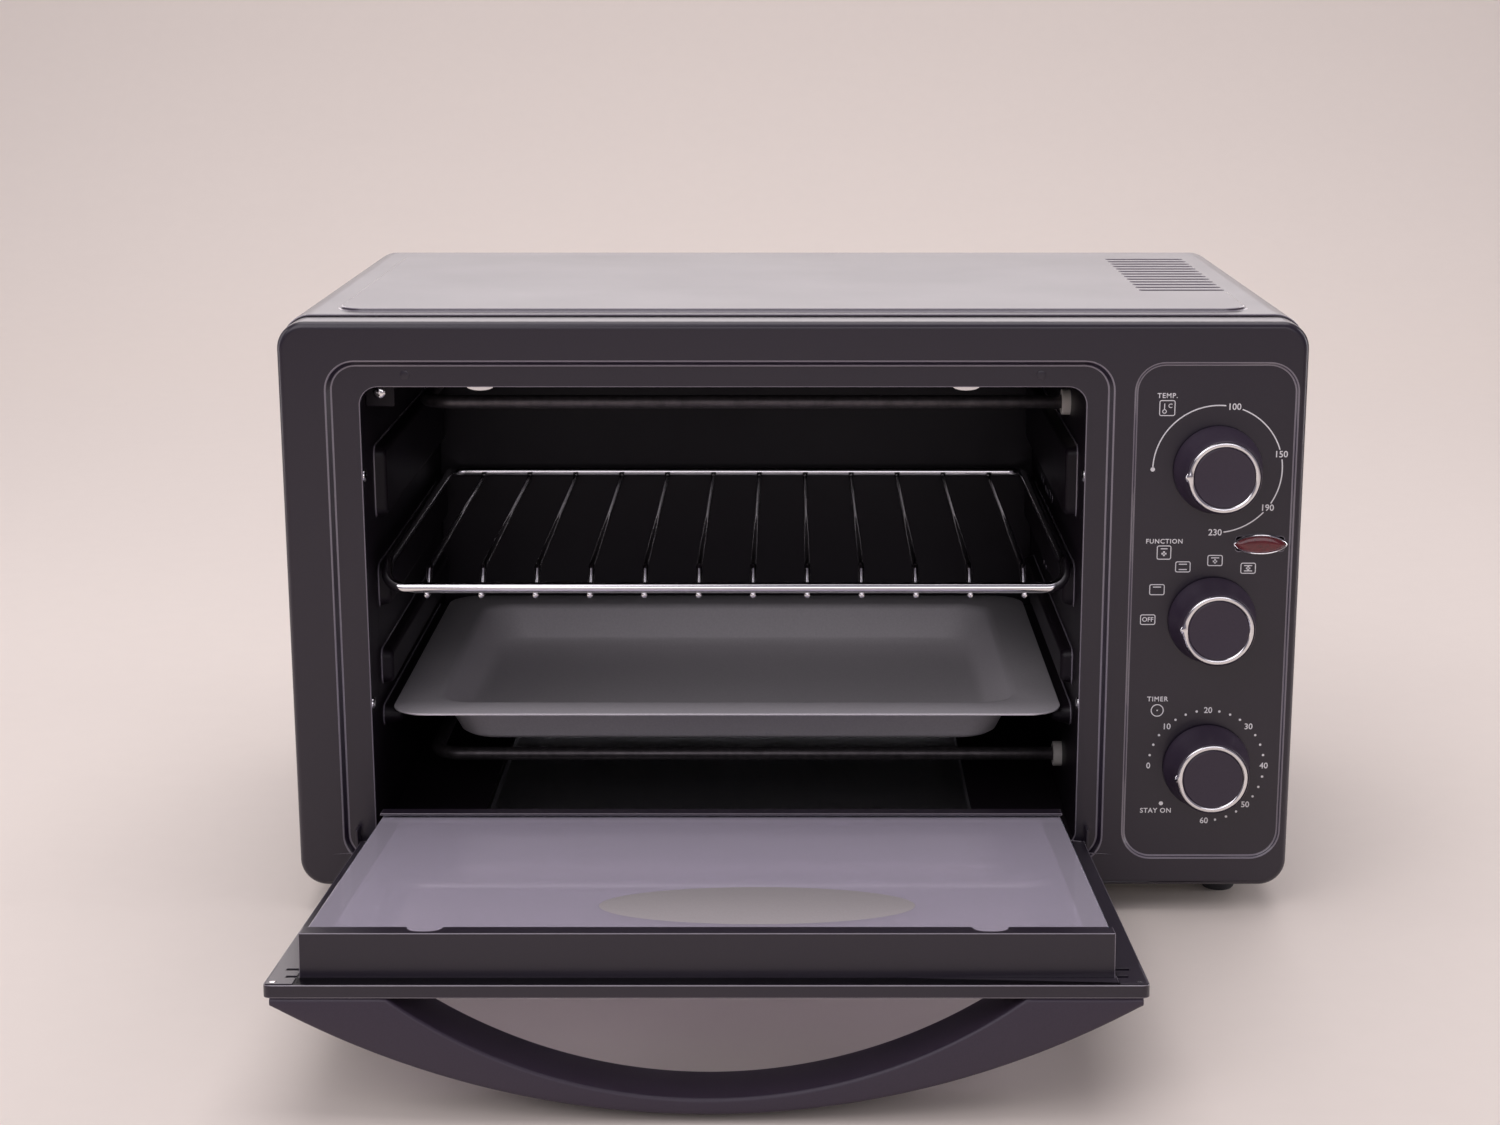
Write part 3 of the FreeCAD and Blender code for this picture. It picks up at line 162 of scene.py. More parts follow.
def outline(x0, x1, z0, z1, radius, steps=8):
    """A rectangle with round corners, as (x, z) pairs."""
    spots = []
    for x, z, start in ((x1 - radius, z1 - radius, 0), (x0 + radius, z1 - radius, 90),
                        (x0 + radius, z0 + radius, 180), (x1 - radius, z0 + radius, 270)):
        for step in range(steps + 1):
            turn = math.radians(start + 90 * step / steps)
            spots.append((x + radius * math.cos(turn), z + radius * math.sin(turn)))
    return spots


def bent(points, radius, closed=False, steps=8):
    """Points along straight runs, with each corner rounded by an arc."""
    spots = []
    count = len(points)
    for index in range(count):
        here = Vector(points[index])
        if not closed and index in (0, count - 1):
            spots.append(here)
            continue
        before = (Vector(points[index - 1]) - here).normalized()
        after = (Vector(points[(index + 1) % count]) - here).normalized()
        half_turn = (math.pi - before.angle(after)) / 2
        centre = here + (before + after).normalized() * (radius / math.cos(half_turn))
        start = here + before * (radius * math.tan(half_turn)) - centre
        axis = start.cross(here + after * (radius * math.tan(half_turn)) - centre).normalized()
        for step in range(steps + 1):
            spots.append(centre + Matrix.Rotation(2 * half_turn * step / steps, 3, axis) @ start)
    return spots


def tube(bm, spots, radius, closed=False, sides=16):
    """A round bar along a line of points, with small domed ends."""
    count = len(spots)
    rings = []
    up = None
    for index, spot in enumerate(spots):
        before = spots[index - 1] if index or closed else spot
        after = spots[(index + 1) % count] if index < count - 1 or closed else spot
        ahead = (after - before).normalized()
        if up is None:
            up = ahead.orthogonal().normalized()
        up = (up - ahead * up.dot(ahead)).normalized()
        side = ahead.cross(up)
        turns = [2 * math.pi * step / sides for step in range(sides)]
        ring = [(side * math.cos(turn) + up * math.sin(turn)) * radius for turn in turns]
        if not closed and index == 0:
            rings += [[spot - ahead * radius * 0.5 + away * 0.5 for away in ring],
                      [spot - ahead * radius * 0.3 + away * 0.85 for away in ring]]
        rings.append([spot + away for away in ring])
        if not closed and index == count - 1:
            rings += [[spot + ahead * radius * 0.3 + away * 0.85 for away in ring],
                      [spot + ahead * radius * 0.5 + away * 0.5 for away in ring]]
    loft(bm, rings, closed=closed)


def ribbon(bm, spots, width, y, thick, closed=False):
    """A printed stroke of even width on a plane that faces -Y, along (x, z) pairs."""
    count = len(spots)
    rails = []
    for index, spot in enumerate(spots):
        here = Vector(spot)
        before = Vector(spots[index - 1]) if index or closed else here
        after = Vector(spots[(index + 1) % count]) if index < count - 1 or closed else here
        ahead = (after - before).normalized()
        across = Vector((-ahead.y, ahead.x)) * width / 2
        rails.append((here + across, here - across))
    back, front = y, y - thick
    rings = [[(a.x, back, a.y), (a.x, front, a.y), (b.x, front, b.y), (b.x, back, b.y)]
             for a, b in rails]
    loft(bm, rings, closed=closed)


def soften_node(node, material, width=0.4, crease=28, highlight_edging=None):
    """Gives a carried-over node its finish and small rounded edges, which may carry a painted
    highlight of their own.
    """
    piece = frame["nodes"][node]
    piece.data.materials.clear()
    piece.data.materials.append(material)
    if highlight_edging:
        piece.data.materials.append(highlight_edging)
    if width:
        weld = piece.modifiers.new("Weld", "WELD")
        weld.merge_threshold = 0.005 * MM
        flat = piece.modifiers.new("Flats", "DECIMATE")
        flat.decimate_type = "DISSOLVE"
        flat.angle_limit = math.radians(0.4)
        edge = piece.modifiers.new("Edges", "BEVEL")
        edge.width = width * MM
        edge.segments = 2
        edge.limit_method = "ANGLE"
        edge.angle_limit = math.radians(crease)
        edge.use_clamp_overlap = False
        # Bevel faces take the painted edge highlight when one is given
        edge.material = 1 if highlight_edging else -1
        even = piece.modifiers.new("Even shading", "WEIGHTED_NORMAL")
        even.keep_sharp = True
        even.weight = 80
    return piece


def soften_all(rows):
    """Softens runs of nodes: (nodes, finish, edge width in millimetres)."""
    for nodes, material, width in rows:
        for node in nodes:
            soften_node(node, material, width)


# ---------------------------------------------------------------------------------------------
# Shader node groups

def new_group(name, inputs, outputs):
    """An empty shader node group with named sockets."""
    tree = bpy.data.node_groups.new(name, "ShaderNodeTree")
    for direction, sockets in (("INPUT", inputs), ("OUTPUT", outputs)):
        for label, kind, value in sockets:
            socket = tree.interface.new_socket(name=label, in_out=direction, socket_type=kind)
            if value is not None:
                socket.default_value = value
    start = tree.nodes.new("NodeGroupInput")
    end = tree.nodes.new("NodeGroupOutput")
    return tree, start, end


def add(tree, kind, **settings):
    """A node with its settings.  Names that are sockets set their values."""
    made = tree.nodes.new(kind)
    for name, value in settings.items():
        if name in made.bl_rna.properties:
            setattr(made, name, value)
        else:
            made.inputs[name.replace("_", " ")].default_value = value
    return made


def math_node(tree, operation, first, second):
    made = tree.nodes.new("ShaderNodeMath")
    made.operation = operation
    for index, value in enumerate((first, second)):
        if isinstance(value, (int, float)):
            made.inputs[index].default_value = value
        else:
            tree.links.new(value, made.inputs[index])
    return made.outputs[0]


def mix_colour(tree, factor, first, second):
    made = tree.nodes.new("ShaderNodeMix")
    made.data_type = "RGBA"
    rows = ((made.inputs[0], factor), (made.inputs[6], first), (made.inputs[7], second))
    for socket, value in rows:
        if isinstance(value, (int, float, tuple)):
            socket.default_value = value
        else:
            tree.links.new(value, socket)
    return made.outputs[2]


def spread_between(tree, value, low, high):
    """Maps a value from 0 to 1 on to a range."""
    made = add(tree, "ShaderNodeMapRange", To_Min=low, To_Max=high)
    tree.links.new(value, made.inputs["Value"])
    return made.outputs["Result"]


COLOUR, FLOAT, VECTOR = "NodeSocketColor", "NodeSocketFloat", "NodeSocketVector"


def grain_group():
    """Fine pimples of a powder coat or moulded skin, and slow changes of gloss."""
    tree, start, end = new_group(
        "Surface Grain",
        [("Colour", COLOUR, (0.05, 0.05, 0.05, 1)), ("Scale", FLOAT, 900.0),
         ("Mottle", FLOAT, 0.12), ("Roughness", FLOAT, 0.4), ("Gloss Change", FLOAT, 0.05)],
        [("Colour", COLOUR, None), ("Roughness", FLOAT, None), ("Height", FLOAT, None)])
    place = add(tree, "ShaderNodeTexCoord")
    fine = add(tree, "ShaderNodeTexNoise", Detail=3.0, Roughness=0.6)
    tree.links.new(place.outputs["Object"], fine.inputs["Vector"])
    tree.links.new(start.outputs["Scale"], fine.inputs["Scale"])
    cells = add(tree, "ShaderNodeTexVoronoi", feature="SMOOTH_F1")
    tree.links.new(place.outputs["Object"], cells.inputs["Vector"])
    tree.links.new(start.outputs["Scale"], cells.inputs["Scale"])
    slow = add(tree, "ShaderNodeTexNoise", Scale=14.0, Detail=4.0)
    tree.links.new(place.outputs["Object"], slow.inputs["Vector"])
    height = math_node(tree, "ADD", fine.outputs["Fac"], cells.outputs["Distance"])
    tree.links.new(height, end.inputs["Height"])
    fleck = math_node(tree, "SUBTRACT", fine.outputs["Fac"], 0.5)
    shade = math_node(tree, "MULTIPLY", fleck, start.outputs["Mottle"])
    bright = add(tree, "ShaderNodeHueSaturation")
    tree.links.new(start.outputs["Colour"], bright.inputs["Color"])
    tree.links.new(math_node(tree, "ADD", shade, 1.0), bright.inputs["Value"])
    tree.links.new(bright.outputs["Color"], end.inputs["Colour"])
    drift = math_node(tree, "MULTIPLY", math_node(tree, "SUBTRACT", slow.outputs["Fac"], 0.5),
                      start.outputs["Gloss Change"])
    tree.links.new(math_node(tree, "ADD", drift, start.outputs["Roughness"]),
                   end.inputs["Roughness"])
    return tree


def wear_group():
    """Edges that handling has polished, together with a painted highlight: a lighter colour where
    the surface turns.
    """
    tree, start, end = new_group(
        "Edge Wear And Highlight",
        [("Colour", COLOUR, (0.05, 0.05, 0.05, 1)), ("Edge Colour", COLOUR, (0.2, 0.2, 0.2, 1)),
         ("Amount", FLOAT, 0.5), ("Roughness", FLOAT, 0.4)],
        [("Colour", COLOUR, None), ("Roughness", FLOAT, None)])
    shape = add(tree, "ShaderNodeNewGeometry")
    ramp = add(tree, "ShaderNodeMapRange", From_Min=0.54, From_Max=0.66)
    tree.links.new(shape.outputs["Pointiness"], ramp.inputs["Value"])
    place = add(tree, "ShaderNodeTexCoord")
    patch = add(tree, "ShaderNodeTexNoise", Scale=60.0, Detail=5.0)
    tree.links.new(place.outputs["Object"], patch.inputs["Vector"])
    broken = math_node(tree, "MULTIPLY", ramp.outputs["Result"],
                       spread_between(tree, patch.outputs["Fac"], 0.3, 1.0))
    mask = math_node(tree, "MULTIPLY", broken, start.outputs["Amount"])
    tree.links.new(mix_colour(tree, mask, start.outputs["Colour"], start.outputs["Edge Colour"]),
                   end.inputs["Colour"])
    rub = math_node(tree, "MULTIPLY", mask, 0.12)
    tree.links.new(math_node(tree, "SUBTRACT", start.outputs["Roughness"], rub),
                   end.inputs["Roughness"])
    return tree


def dust_group():
    """A thin film of dust and flour on faces that look up."""
    tree, start, end = new_group(
        "Settled Dust",
        [("Colour", COLOUR, (0.05, 0.05, 0.05, 1)), ("Dust Colour", COLOUR, (0.5, 0.47, 0.44, 1)),
         ("Amount", FLOAT, 0.05), ("Roughness", FLOAT, 0.4)],
        [("Colour", COLOUR, None), ("Roughness", FLOAT, None)])
    shape = add(tree, "ShaderNodeNewGeometry")
    split = add(tree, "ShaderNodeSeparateXYZ")
    tree.links.new(shape.outputs["Normal"], split.inputs["Vector"])
    up = add(tree, "ShaderNodeMapRange", From_Min=0.35, From_Max=1.0)
    tree.links.new(split.outputs["Z"], up.inputs["Value"])
    place = add(tree, "ShaderNodeTexCoord")
    cloud = add(tree, "ShaderNodeTexNoise", Scale=22.0, Detail=8.0, Roughness=0.7)
    tree.links.new(place.outputs["Object"], cloud.inputs["Vector"])
    speck = add(tree, "ShaderNodeTexVoronoi", Scale=420.0)
    tree.links.new(place.outputs["Object"], speck.inputs["Vector"])
    spot = add(tree, "ShaderNodeMapRange", From_Min=0.16, From_Max=0.1)
    tree.links.new(speck.outputs["Distance"], spot.inputs["Value"])
    film = math_node(tree, "ADD", cloud.outputs["Fac"], spot.outputs["Result"])
    mask = math_node(tree, "MULTIPLY", math_node(tree, "MULTIPLY", film, up.outputs["Result"]),
                     start.outputs["Amount"])
    tree.links.new(mix_colour(tree, mask, start.outputs["Colour"], start.outputs["Dust Colour"]),
                   end.inputs["Colour"])
    tree.links.new(math_node(tree, "ADD", start.outputs["Roughness"],
                             math_node(tree, "MULTIPLY", mask, 0.5)), end.inputs["Roughness"])
    return tree


def brushed_group():
    """Fine drawn lines along one direction of a rolled or brushed metal."""
    tree, start, end = new_group(
        "Drawn Lines",
        [("Colour", COLOUR, (0.6, 0.6, 0.6, 1)), ("Stretch", VECTOR, (20.0, 900.0, 900.0)),
         ("Change", FLOAT, 0.2), ("Roughness", FLOAT, 0.35)],
        [("Colour", COLOUR, None), ("Roughness", FLOAT, None), ("Height", FLOAT, None)])
    place = add(tree, "ShaderNodeTexCoord")
    stretched = add(tree, "ShaderNodeVectorMath", operation="MULTIPLY")
    tree.links.new(place.outputs["Object"], stretched.inputs[0])
    tree.links.new(start.outputs["Stretch"], stretched.inputs[1])
    line = add(tree, "ShaderNodeTexNoise", Scale=1.0, Detail=4.0, Roughness=0.65)
    tree.links.new(stretched.outputs[0], line.inputs["Vector"])
    away = math_node(tree, "MULTIPLY", math_node(tree, "SUBTRACT", line.outputs["Fac"], 0.5),
                     start.outputs["Change"])
    bright = add(tree, "ShaderNodeHueSaturation")
    tree.links.new(start.outputs["Colour"], bright.inputs["Color"])
    tree.links.new(math_node(tree, "ADD", away, 1.0), bright.inputs["Value"])
    tree.links.new(bright.outputs["Color"], end.inputs["Colour"])
    tree.links.new(math_node(tree, "ADD", away, start.outputs["Roughness"]),
                   end.inputs["Roughness"])
    tree.links.new(line.outputs["Fac"], end.inputs["Height"])
    return tree


GROUPS = {}


def effect(name):
    """One of the shared effects, made the first time that it is asked for."""
    if name not in GROUPS:
        GROUPS[name] = {"grain": grain_group, "wear_and_highlight": wear_group, "dust": dust_group,
                        "brushed": brushed_group}[name]()
    return GROUPS[name]


# ---------------------------------------------------------------------------------------------
# Finishes

FINISHES = {}


def finish_for(name, colour, base, steps, bump=0.0, **shader):
    """A Principled material whose colour and gloss run through a chain of shared effects.

    base holds the first effect's name and values, and steps the effects after it."""
    if name in FINISHES:
        return FINISHES[name]
    material = bpy.data.materials.new(name)
    material.use_nodes = True
    tree = material.node_tree
    skin = tree.nodes["Principled BSDF"]
    for socket, value in shader.items():
        skin.inputs[socket.replace("_", " ")].default_value = value
    colour_out, rough_out, height = None, None, None
    for kind, values in [base, *steps]:
        node = tree.nodes.new("ShaderNodeGroup")
        node.node_tree = effect(kind)
        for socket, value in values.items():
            node.inputs[socket].default_value = value
        if colour_out is None:
            node.inputs["Colour"].default_value = (*colour, 1)
            height = node.outputs["Height"]
        else:
            tree.links.new(colour_out, node.inputs["Colour"])
            tree.links.new(rough_out, node.inputs["Roughness"])
        colour_out, rough_out = node.outputs["Colour"], node.outputs["Roughness"]
    tree.links.new(colour_out, skin.inputs["Base Color"])
    tree.links.new(rough_out, skin.inputs["Roughness"])
    if bump:
        relief = add(tree, "ShaderNodeBump", Strength=bump, Distance=0.02 * MM)
        tree.links.new(height, relief.inputs["Height"])
        tree.links.new(relief.outputs["Normal"], skin.inputs["Normal"])
    FINISHES[name] = material
    return material


def paint():
    """Black satin powder coat."""
    own = bpy.context.scene.oven_casing
    return finish_for(
        "black powder coat", own.paint,
        ("grain", {"Scale": 1500.0, "Mottle": 0.5, "Roughness": own.paint_roughness,
                   "Gloss Change": 0.08}),
        [("dust", {"Amount": own.dust})],
        bump=0.3, Coat_Weight=0.3, Coat_Roughness=0.14)


def paint_edge():
    """Painted highlight along pressed and cut edges: a lighter, glossier copy of the powder coat.
    """
    own = bpy.context.scene.oven_casing
    return finish_for(
        "powder coat edge highlight", own.edge_colour,
        ("grain", {"Scale": 1500.0, "Mottle": 0.3, "Roughness": 0.24, "Gloss Change": 0.05}),
        [], bump=0.1, Coat_Weight=0.6, Coat_Roughness=0.1)


def liner_coat():
    """Dark non-stick coating of the cavity."""
    return finish_for(
        "cavity coating", bpy.context.scene.oven_cavity.coating,
        ("grain", {"Scale": 1100.0, "Mottle": 0.6, "Roughness": 0.42, "Gloss Change": 0.14}),
        [("dust", {"Amount": 0.02})],
        bump=0.4, Specular_IOR_Level=0.25)


def zinc():
    """Zinc-plated steel."""
    return finish_for(
        "zinc plate", (0.55, 0.55, 0.53),
        ("grain", {"Scale": 260.0, "Mottle": 0.35, "Roughness": 0.38, "Gloss Change": 0.2}),
        [("dust", {"Amount": 0.05})],
        bump=0.1, Metallic=1.0)


def chrome():
    """Polished chrome plate."""
    return finish_for(
        "chrome plate", (0.82, 0.81, 0.82),
        ("grain", {"Scale": 300.0, "Mottle": 0.05, "Roughness": 0.1, "Gloss Change": 0.07}),
        [], bump=0.03, Metallic=1.0)


def plastic():
    """Black moulded plastic with a fine spark-eroded skin."""
    own = bpy.context.scene.oven_knobs
    return finish_for(
        "black plastic", own.plastic,
        ("grain", {"Scale": 1900.0, "Mottle": 0.55, "Roughness": 0.42, "Gloss Change": 0.06}),
        # Lighter convex edges: partly wear, partly painted highlight
        [("wear_and_highlight", {"Edge Colour": (0.13, 0.12, 0.14, 1), "Amount": 0.35}),
         ("dust", {"Amount": 0.02})],
        bump=0.45)


def rubber():
    return finish_for(
        "black rubber", (0.03, 0.03, 0.033),
        ("grain", {"Scale": 1200.0, "Mottle": 0.5, "Roughness": 0.75, "Gloss Change": 0.08}),
        [("dust", {"Amount": 0.2})], bump=0.5)


def sheath():
    """Heat-darkened steel of the heating elements."""
    return finish_for(
        "element sheath", (0.11, 0.1, 0.105),
        ("grain", {"Scale": 240.0, "Mottle": 1.2, "Roughness": 0.42, "Gloss Change": 0.2}),
        # Lighter convex edges: partly wear, partly painted highlight
        [("wear_and_highlight", {"Edge Colour": (0.3, 0.28, 0.27, 1), "Amount": 0.3})],
        bump=0.2, Metallic=0.8)


def ceramic():
    return finish_for(
        "unglazed ceramic", (0.78, 0.75, 0.68),
        ("grain", {"Scale": 800.0, "Mottle": 0.15, "Roughness": 0.6, "Gloss Change": 0.1}),
        [("dust", {"Amount": 0.08})], bump=0.35)


def aluminium():
    """Mill-finish aluminium sheet, drawn along X."""
    return finish_for(
        "aluminium sheet", (0.66, 0.66, 0.67),
        ("brushed", {"Stretch": (14.0, 700.0, 700.0), "Change": 0.22, "Roughness": 0.36}),
        [("dust", {"Amount": 0.04})], bump=0.12, Metallic=1.0)


def control_plastic():
    return finish_for(
        "control body plastic", (0.68, 0.65, 0.56),
        ("grain", {"Scale": 900.0, "Mottle": 0.1, "Roughness": 0.5, "Gloss Change": 0.08}),
        [("dust", {"Amount": 0.1})], bump=0.2)


def pan_coat():
    """Pale grey satin coating of the baking pan."""
    return finish_for(
        "pan coating", bpy.context.scene.oven_pan.coating,
        ("grain", {"Scale": 1000.0, "Mottle": 0.22, "Roughness": 0.36, "Gloss Change": 0.1}),
        # Lighter convex edges: partly wear, partly painted highlight
        [("wear_and_highlight", {"Edge Colour": (0.8, 0.79, 0.8, 1), "Amount": 0.5}),
         ("dust", {"Amount": 0.03})],
        bump=0.25, Metallic=0.3, Coat_Weight=0.15, Coat_Roughness=0.2)


def print_ink():
    """White ink of the dial printing."""
    return finish_for(
        "dial ink", (0.85, 0.84, 0.85),
        ("grain", {"Scale": 1500.0, "Mottle": 0.12, "Roughness": 0.55, "Gloss Change": 0.05}),
        [], bump=0.1)


def frosted_patch():
    """A pale translucent oval laid on the door's glass."""
    return finish_for(
        "pale glass oval", (0.42, 0.39, 0.385),
        ("grain", {"Scale": 1400.0, "Mottle": 0.25, "Roughness": 0.5, "Gloss Change": 0.05}),
        [], bump=0.2, Alpha=0.75)


def clear_material(name, colour, roughness, clear=1.0):
    """A clear material whose gloss changes a little, as wiped glass does."""
    if name in FINISHES:
        return FINISHES[name]
    material = bpy.data.materials.new(name)
    material.use_nodes = True
    tree = material.node_tree
    skin = tree.nodes["Principled BSDF"]
    skin.inputs["Transmission Weight"].default_value = clear
    skin.inputs["IOR"].default_value = 1.5
    smear = tree.nodes.new("ShaderNodeGroup")
    smear.node_tree = effect("grain")
    smear.inputs["Colour"].default_value = (*colour, 1)
    smear.inputs["Mottle"].default_value = 0.03
    smear.inputs["Scale"].default_value = 500.0
    smear.inputs["Roughness"].default_value = roughness
    smear.inputs["Gloss Change"].default_value = 0.05
    tree.links.new(smear.outputs["Colour"], skin.inputs["Base Color"])
    tree.links.new(smear.outputs["Roughness"], skin.inputs["Roughness"])
    FINISHES[name] = material
    return material


# ---------------------------------------------------------------------------------------------
# Settings that a user would change

class OvenCasingSettings(bpy.types.PropertyGroup):
    paint: FloatVectorProperty(name="Paint", description="Colour of the powder coat", size=3,
                               subtype="COLOR", default=(0.0125, 0.0075, 0.0175), min=0, max=1)
    paint_roughness: FloatProperty(name="Paint roughness", default=0.34, min=0, max=1,
                                   description="How dull the powder coat is")
    dust: FloatProperty(name="Dust", default=0.03, min=0, max=1,
                        description="How much dust lies on the casing")
    # Painted highlight: the lighter colour laid on the coat's bevelled edges
    edge_colour: FloatVectorProperty(name="Edge highlight colour", size=3, subtype="COLOR",
                                     description="Painted highlight colour along the powder coat's edges",
                                     default=(0.2, 0.18, 0.21), min=0, max=1)
    edge: FloatProperty(name="Edge rounding", default=0.45, min=0, max=1,
                        description="Rounding of the sheet's edges, in millimetres")


class OvenCavitySettings(bpy.types.PropertyGroup):
    coating: FloatVectorProperty(name="Coating", description="Colour of the cavity", size=3,
                                 subtype="COLOR", default=(0.007, 0.004, 0.0075), min=0, max=1)


class OvenKnobSettings(bpy.types.PropertyGroup):
    plastic: FloatVectorProperty(name="Plastic", description="Colour of the knobs and handle",
                                 size=3, subtype="COLOR", default=(0.034, 0.023, 0.041),
                                 min=0, max=1)
    waist: FloatProperty(name="Waist", default=0.9 * MM, min=0, unit="LENGTH",
                         description="How far the knob's flare curves in")
    bump: FloatProperty(name="Index bump", default=1.1 * MM, min=0, unit="LENGTH",
                        description="How far the index mark stands out of the bright ring")


class OvenDialSettings(bpy.types.PropertyGroup):
    radius: FloatProperty(name="Scale radius", default=28.4 * MM, min=0, unit="LENGTH",
                          description="Knob axis to the temperature and function marks")
    minutes_radius: FloatProperty(name="Minutes radius", default=26 * MM, min=0, unit="LENGTH",
                                  description="Knob axis to the timer's numbers")
    stroke: FloatProperty(name="Stroke", default=0.55 * MM, min=0, unit="LENGTH",
                          description="Width of a printed line")
    letter: FloatProperty(name="Letter height", default=2.9 * MM, min=0, unit="LENGTH",
                          description="Height of the printed numbers")


class OvenRackSettings(bpy.types.PropertyGroup):
    wires: IntProperty(name="Wires", default=12, min=2, description="Number of thin wires")
    frame: FloatProperty(name="Frame radius", default=2.5 * MM, min=0, unit="LENGTH",
                         description="Radius of the rack's frame")
    wire: FloatProperty(name="Wire radius", default=1.5 * MM, min=0, unit="LENGTH",
                        description="Radius of a thin wire")


class OvenPanSettings(bpy.types.PropertyGroup):
    coating: FloatVectorProperty(name="Coating", description="Colour of the pan", size=3,
                                 subtype="COLOR", default=(0.76, 0.735, 0.75), min=0, max=1)
    rim: FloatProperty(name="Rim", default=19 * MM, min=0, unit="LENGTH",
                       description="Width of the pan's flat rim")
    corner: FloatProperty(name="Corner", default=16 * MM, min=0, unit="LENGTH",
                          description="Rounding of the pan's corners")


class OvenDoorSettings(bpy.types.PropertyGroup):
    glass: FloatVectorProperty(name="Glass", description="Tint of the door's glass", size=3,
                               subtype="COLOR", default=(0.82, 0.76, 0.88), min=0, max=1)
    notch: FloatProperty(name="Notch", default=7 * MM, min=0, unit="LENGTH",
                         description="Half the width of the notches in the top rail")
    notch_deep: FloatProperty(name="Notch depth", default=6 * MM, min=0, unit="LENGTH",
                              description="How far a notch cuts into the top rail's lip")
    patch_x: FloatProperty(name="Oval place", default=-14 * MM, unit="LENGTH",
                           description="Middle of the pale oval, across the oven")
    patch_up: FloatProperty(name="Oval height", default=159.5 * MM, min=0, unit="LENGTH",
                            description="Middle of the pale oval above the door's hinge")
    patch_wide: FloatProperty(name="Oval half width", default=61.6 * MM, min=0, unit="LENGTH",
                              description="Half the width of the pale oval")
    patch_tall: FloatProperty(name="Oval half height", default=26.4 * MM, min=0, unit="LENGTH",
                              description="Half the height of the pale oval")
    handle_foot: FloatProperty(name="Handle foot", default=43 * MM, min=0, unit="LENGTH",
                               description="Length of the handle's solid ends")
    handle_middle: FloatProperty(name="Handle middle", default=6.5 * MM, min=0, unit="LENGTH",
                                 description="Thickness of the bow at its middle")
    handle_toe: FloatProperty(name="Handle toe", default=3 * MM, min=0, unit="LENGTH",
                              description="Thickness of the bow at its very ends")


class OvenStageSettings(bpy.types.PropertyGroup):
    floor: FloatVectorProperty(name="Floor", description="Colour of the floor", size=3,
                               subtype="COLOR", default=(0.8, 0.73, 0.65), min=0, max=1)
    brightness: FloatProperty(name="Brightness", default=1.0, min=0,
                              description="Strength of all the lights together")
    camera_back: FloatProperty(name="Camera distance", default=1.082, min=0, unit="LENGTH",
                               description="From the lens to the oven's front")
    camera_height: FloatProperty(name="Camera height", default=0.417, min=0, unit="LENGTH",
                                 description="Lens above the table")
    camera_dip: FloatProperty(name="Camera dip", default=math.radians(13.2), subtype="ANGLE",
                              description="How far the camera looks down")
    lens: FloatProperty(name="Lens", default=60.4, min=1, description="Focal length in mm")


# ---------------------------------------------------------------------------------------------
# Pieces

class OVEN_OT_casing(bpy.types.Operator):
    """Finish the front panel, cover, rear panel, base and heat shield"""
    bl_idname = "oven.casing"
    bl_label = "Casing"

    def execute(self, context):
        width = context.scene.oven_casing.edge
        # The sheet's bevelled edges carry a painted highlight
        for node in ("front_fascia", "outer_cover", "rear_panel"):
            soften_node(node, paint(), width, highlight_edging=paint_edge())
        soften_all(((("base_plate", "heat_shield", "hinge_pins"), zinc(), 0.2),
                    (("rear_spacers",), plastic(), 0.6),
                    (("cord_inlet",), plastic(), 0.5),
                    (("hinge_brackets",), paint(), 0.25)))
        return {"FINISHED"}


class OVEN_OT_dimples(bpy.types.Operator):
    """Make the two small round studs above the opening"""
    bl_idname = "oven.dimples"
    bl_label = "Front studs"

    RECESS = 2.5 * MM

    def execute(self, context):
        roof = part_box("cavity_roof")[1]
        middle = (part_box("cavity_roof")[0].x + roof.x) / 2
        field = Vector((0, FACE_Y + self.RECESS, 0))
        bm = bmesh.new()
        for side in (-1, 1):
            centre = (middle + side * 138.5 * MM, field.y, roof.z + 3.4 * MM)
            lathe(bm, centre, "y", [(2.1 * MM, 0), (2.0 * MM, -0.15 * MM), (1.5 * MM, -0.25 * MM),
                                    (0.4 * MM, -0.28 * MM)], 28)
        seat(piece_from("front_studs", bm), "oven", paint())
        return {"FINISHED"}


class OVEN_OT_feet(bpy.types.Operator):
    """Make the four rubber feet"""
    bl_idname = "oven.feet"
    bl_label = "Feet"

    def execute(self, context):
        for node in ("front_left", "rear_left", "front_right", "rear_right"):
            low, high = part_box("foot_" + node)
            radius, tall = (high.x - low.x) / 2, high.z - low.z
            centre = ((low.x + high.x) / 2, (low.y + high.y) / 2, low.z)
            bm = bmesh.new()
            profile = [(radius * 0.3, 0), (radius * 0.8, 0), (radius * 0.88, tall * 0.08),
                       (radius * 0.93, tall * 0.5), (radius * 0.95, tall * 0.72),
                       (radius, tall * 0.76), (radius, tall * 0.97), (radius * 0.97, tall)]
            lathe(bm, centre, "z", profile, 40)
            foot = piece_from("rubber_foot_" + node, bm)
            seat(foot, "oven", rubber(), ["foot_" + node])
        soften_node("foot_screws", zinc(), 0.2)
        return {"FINISHED"}


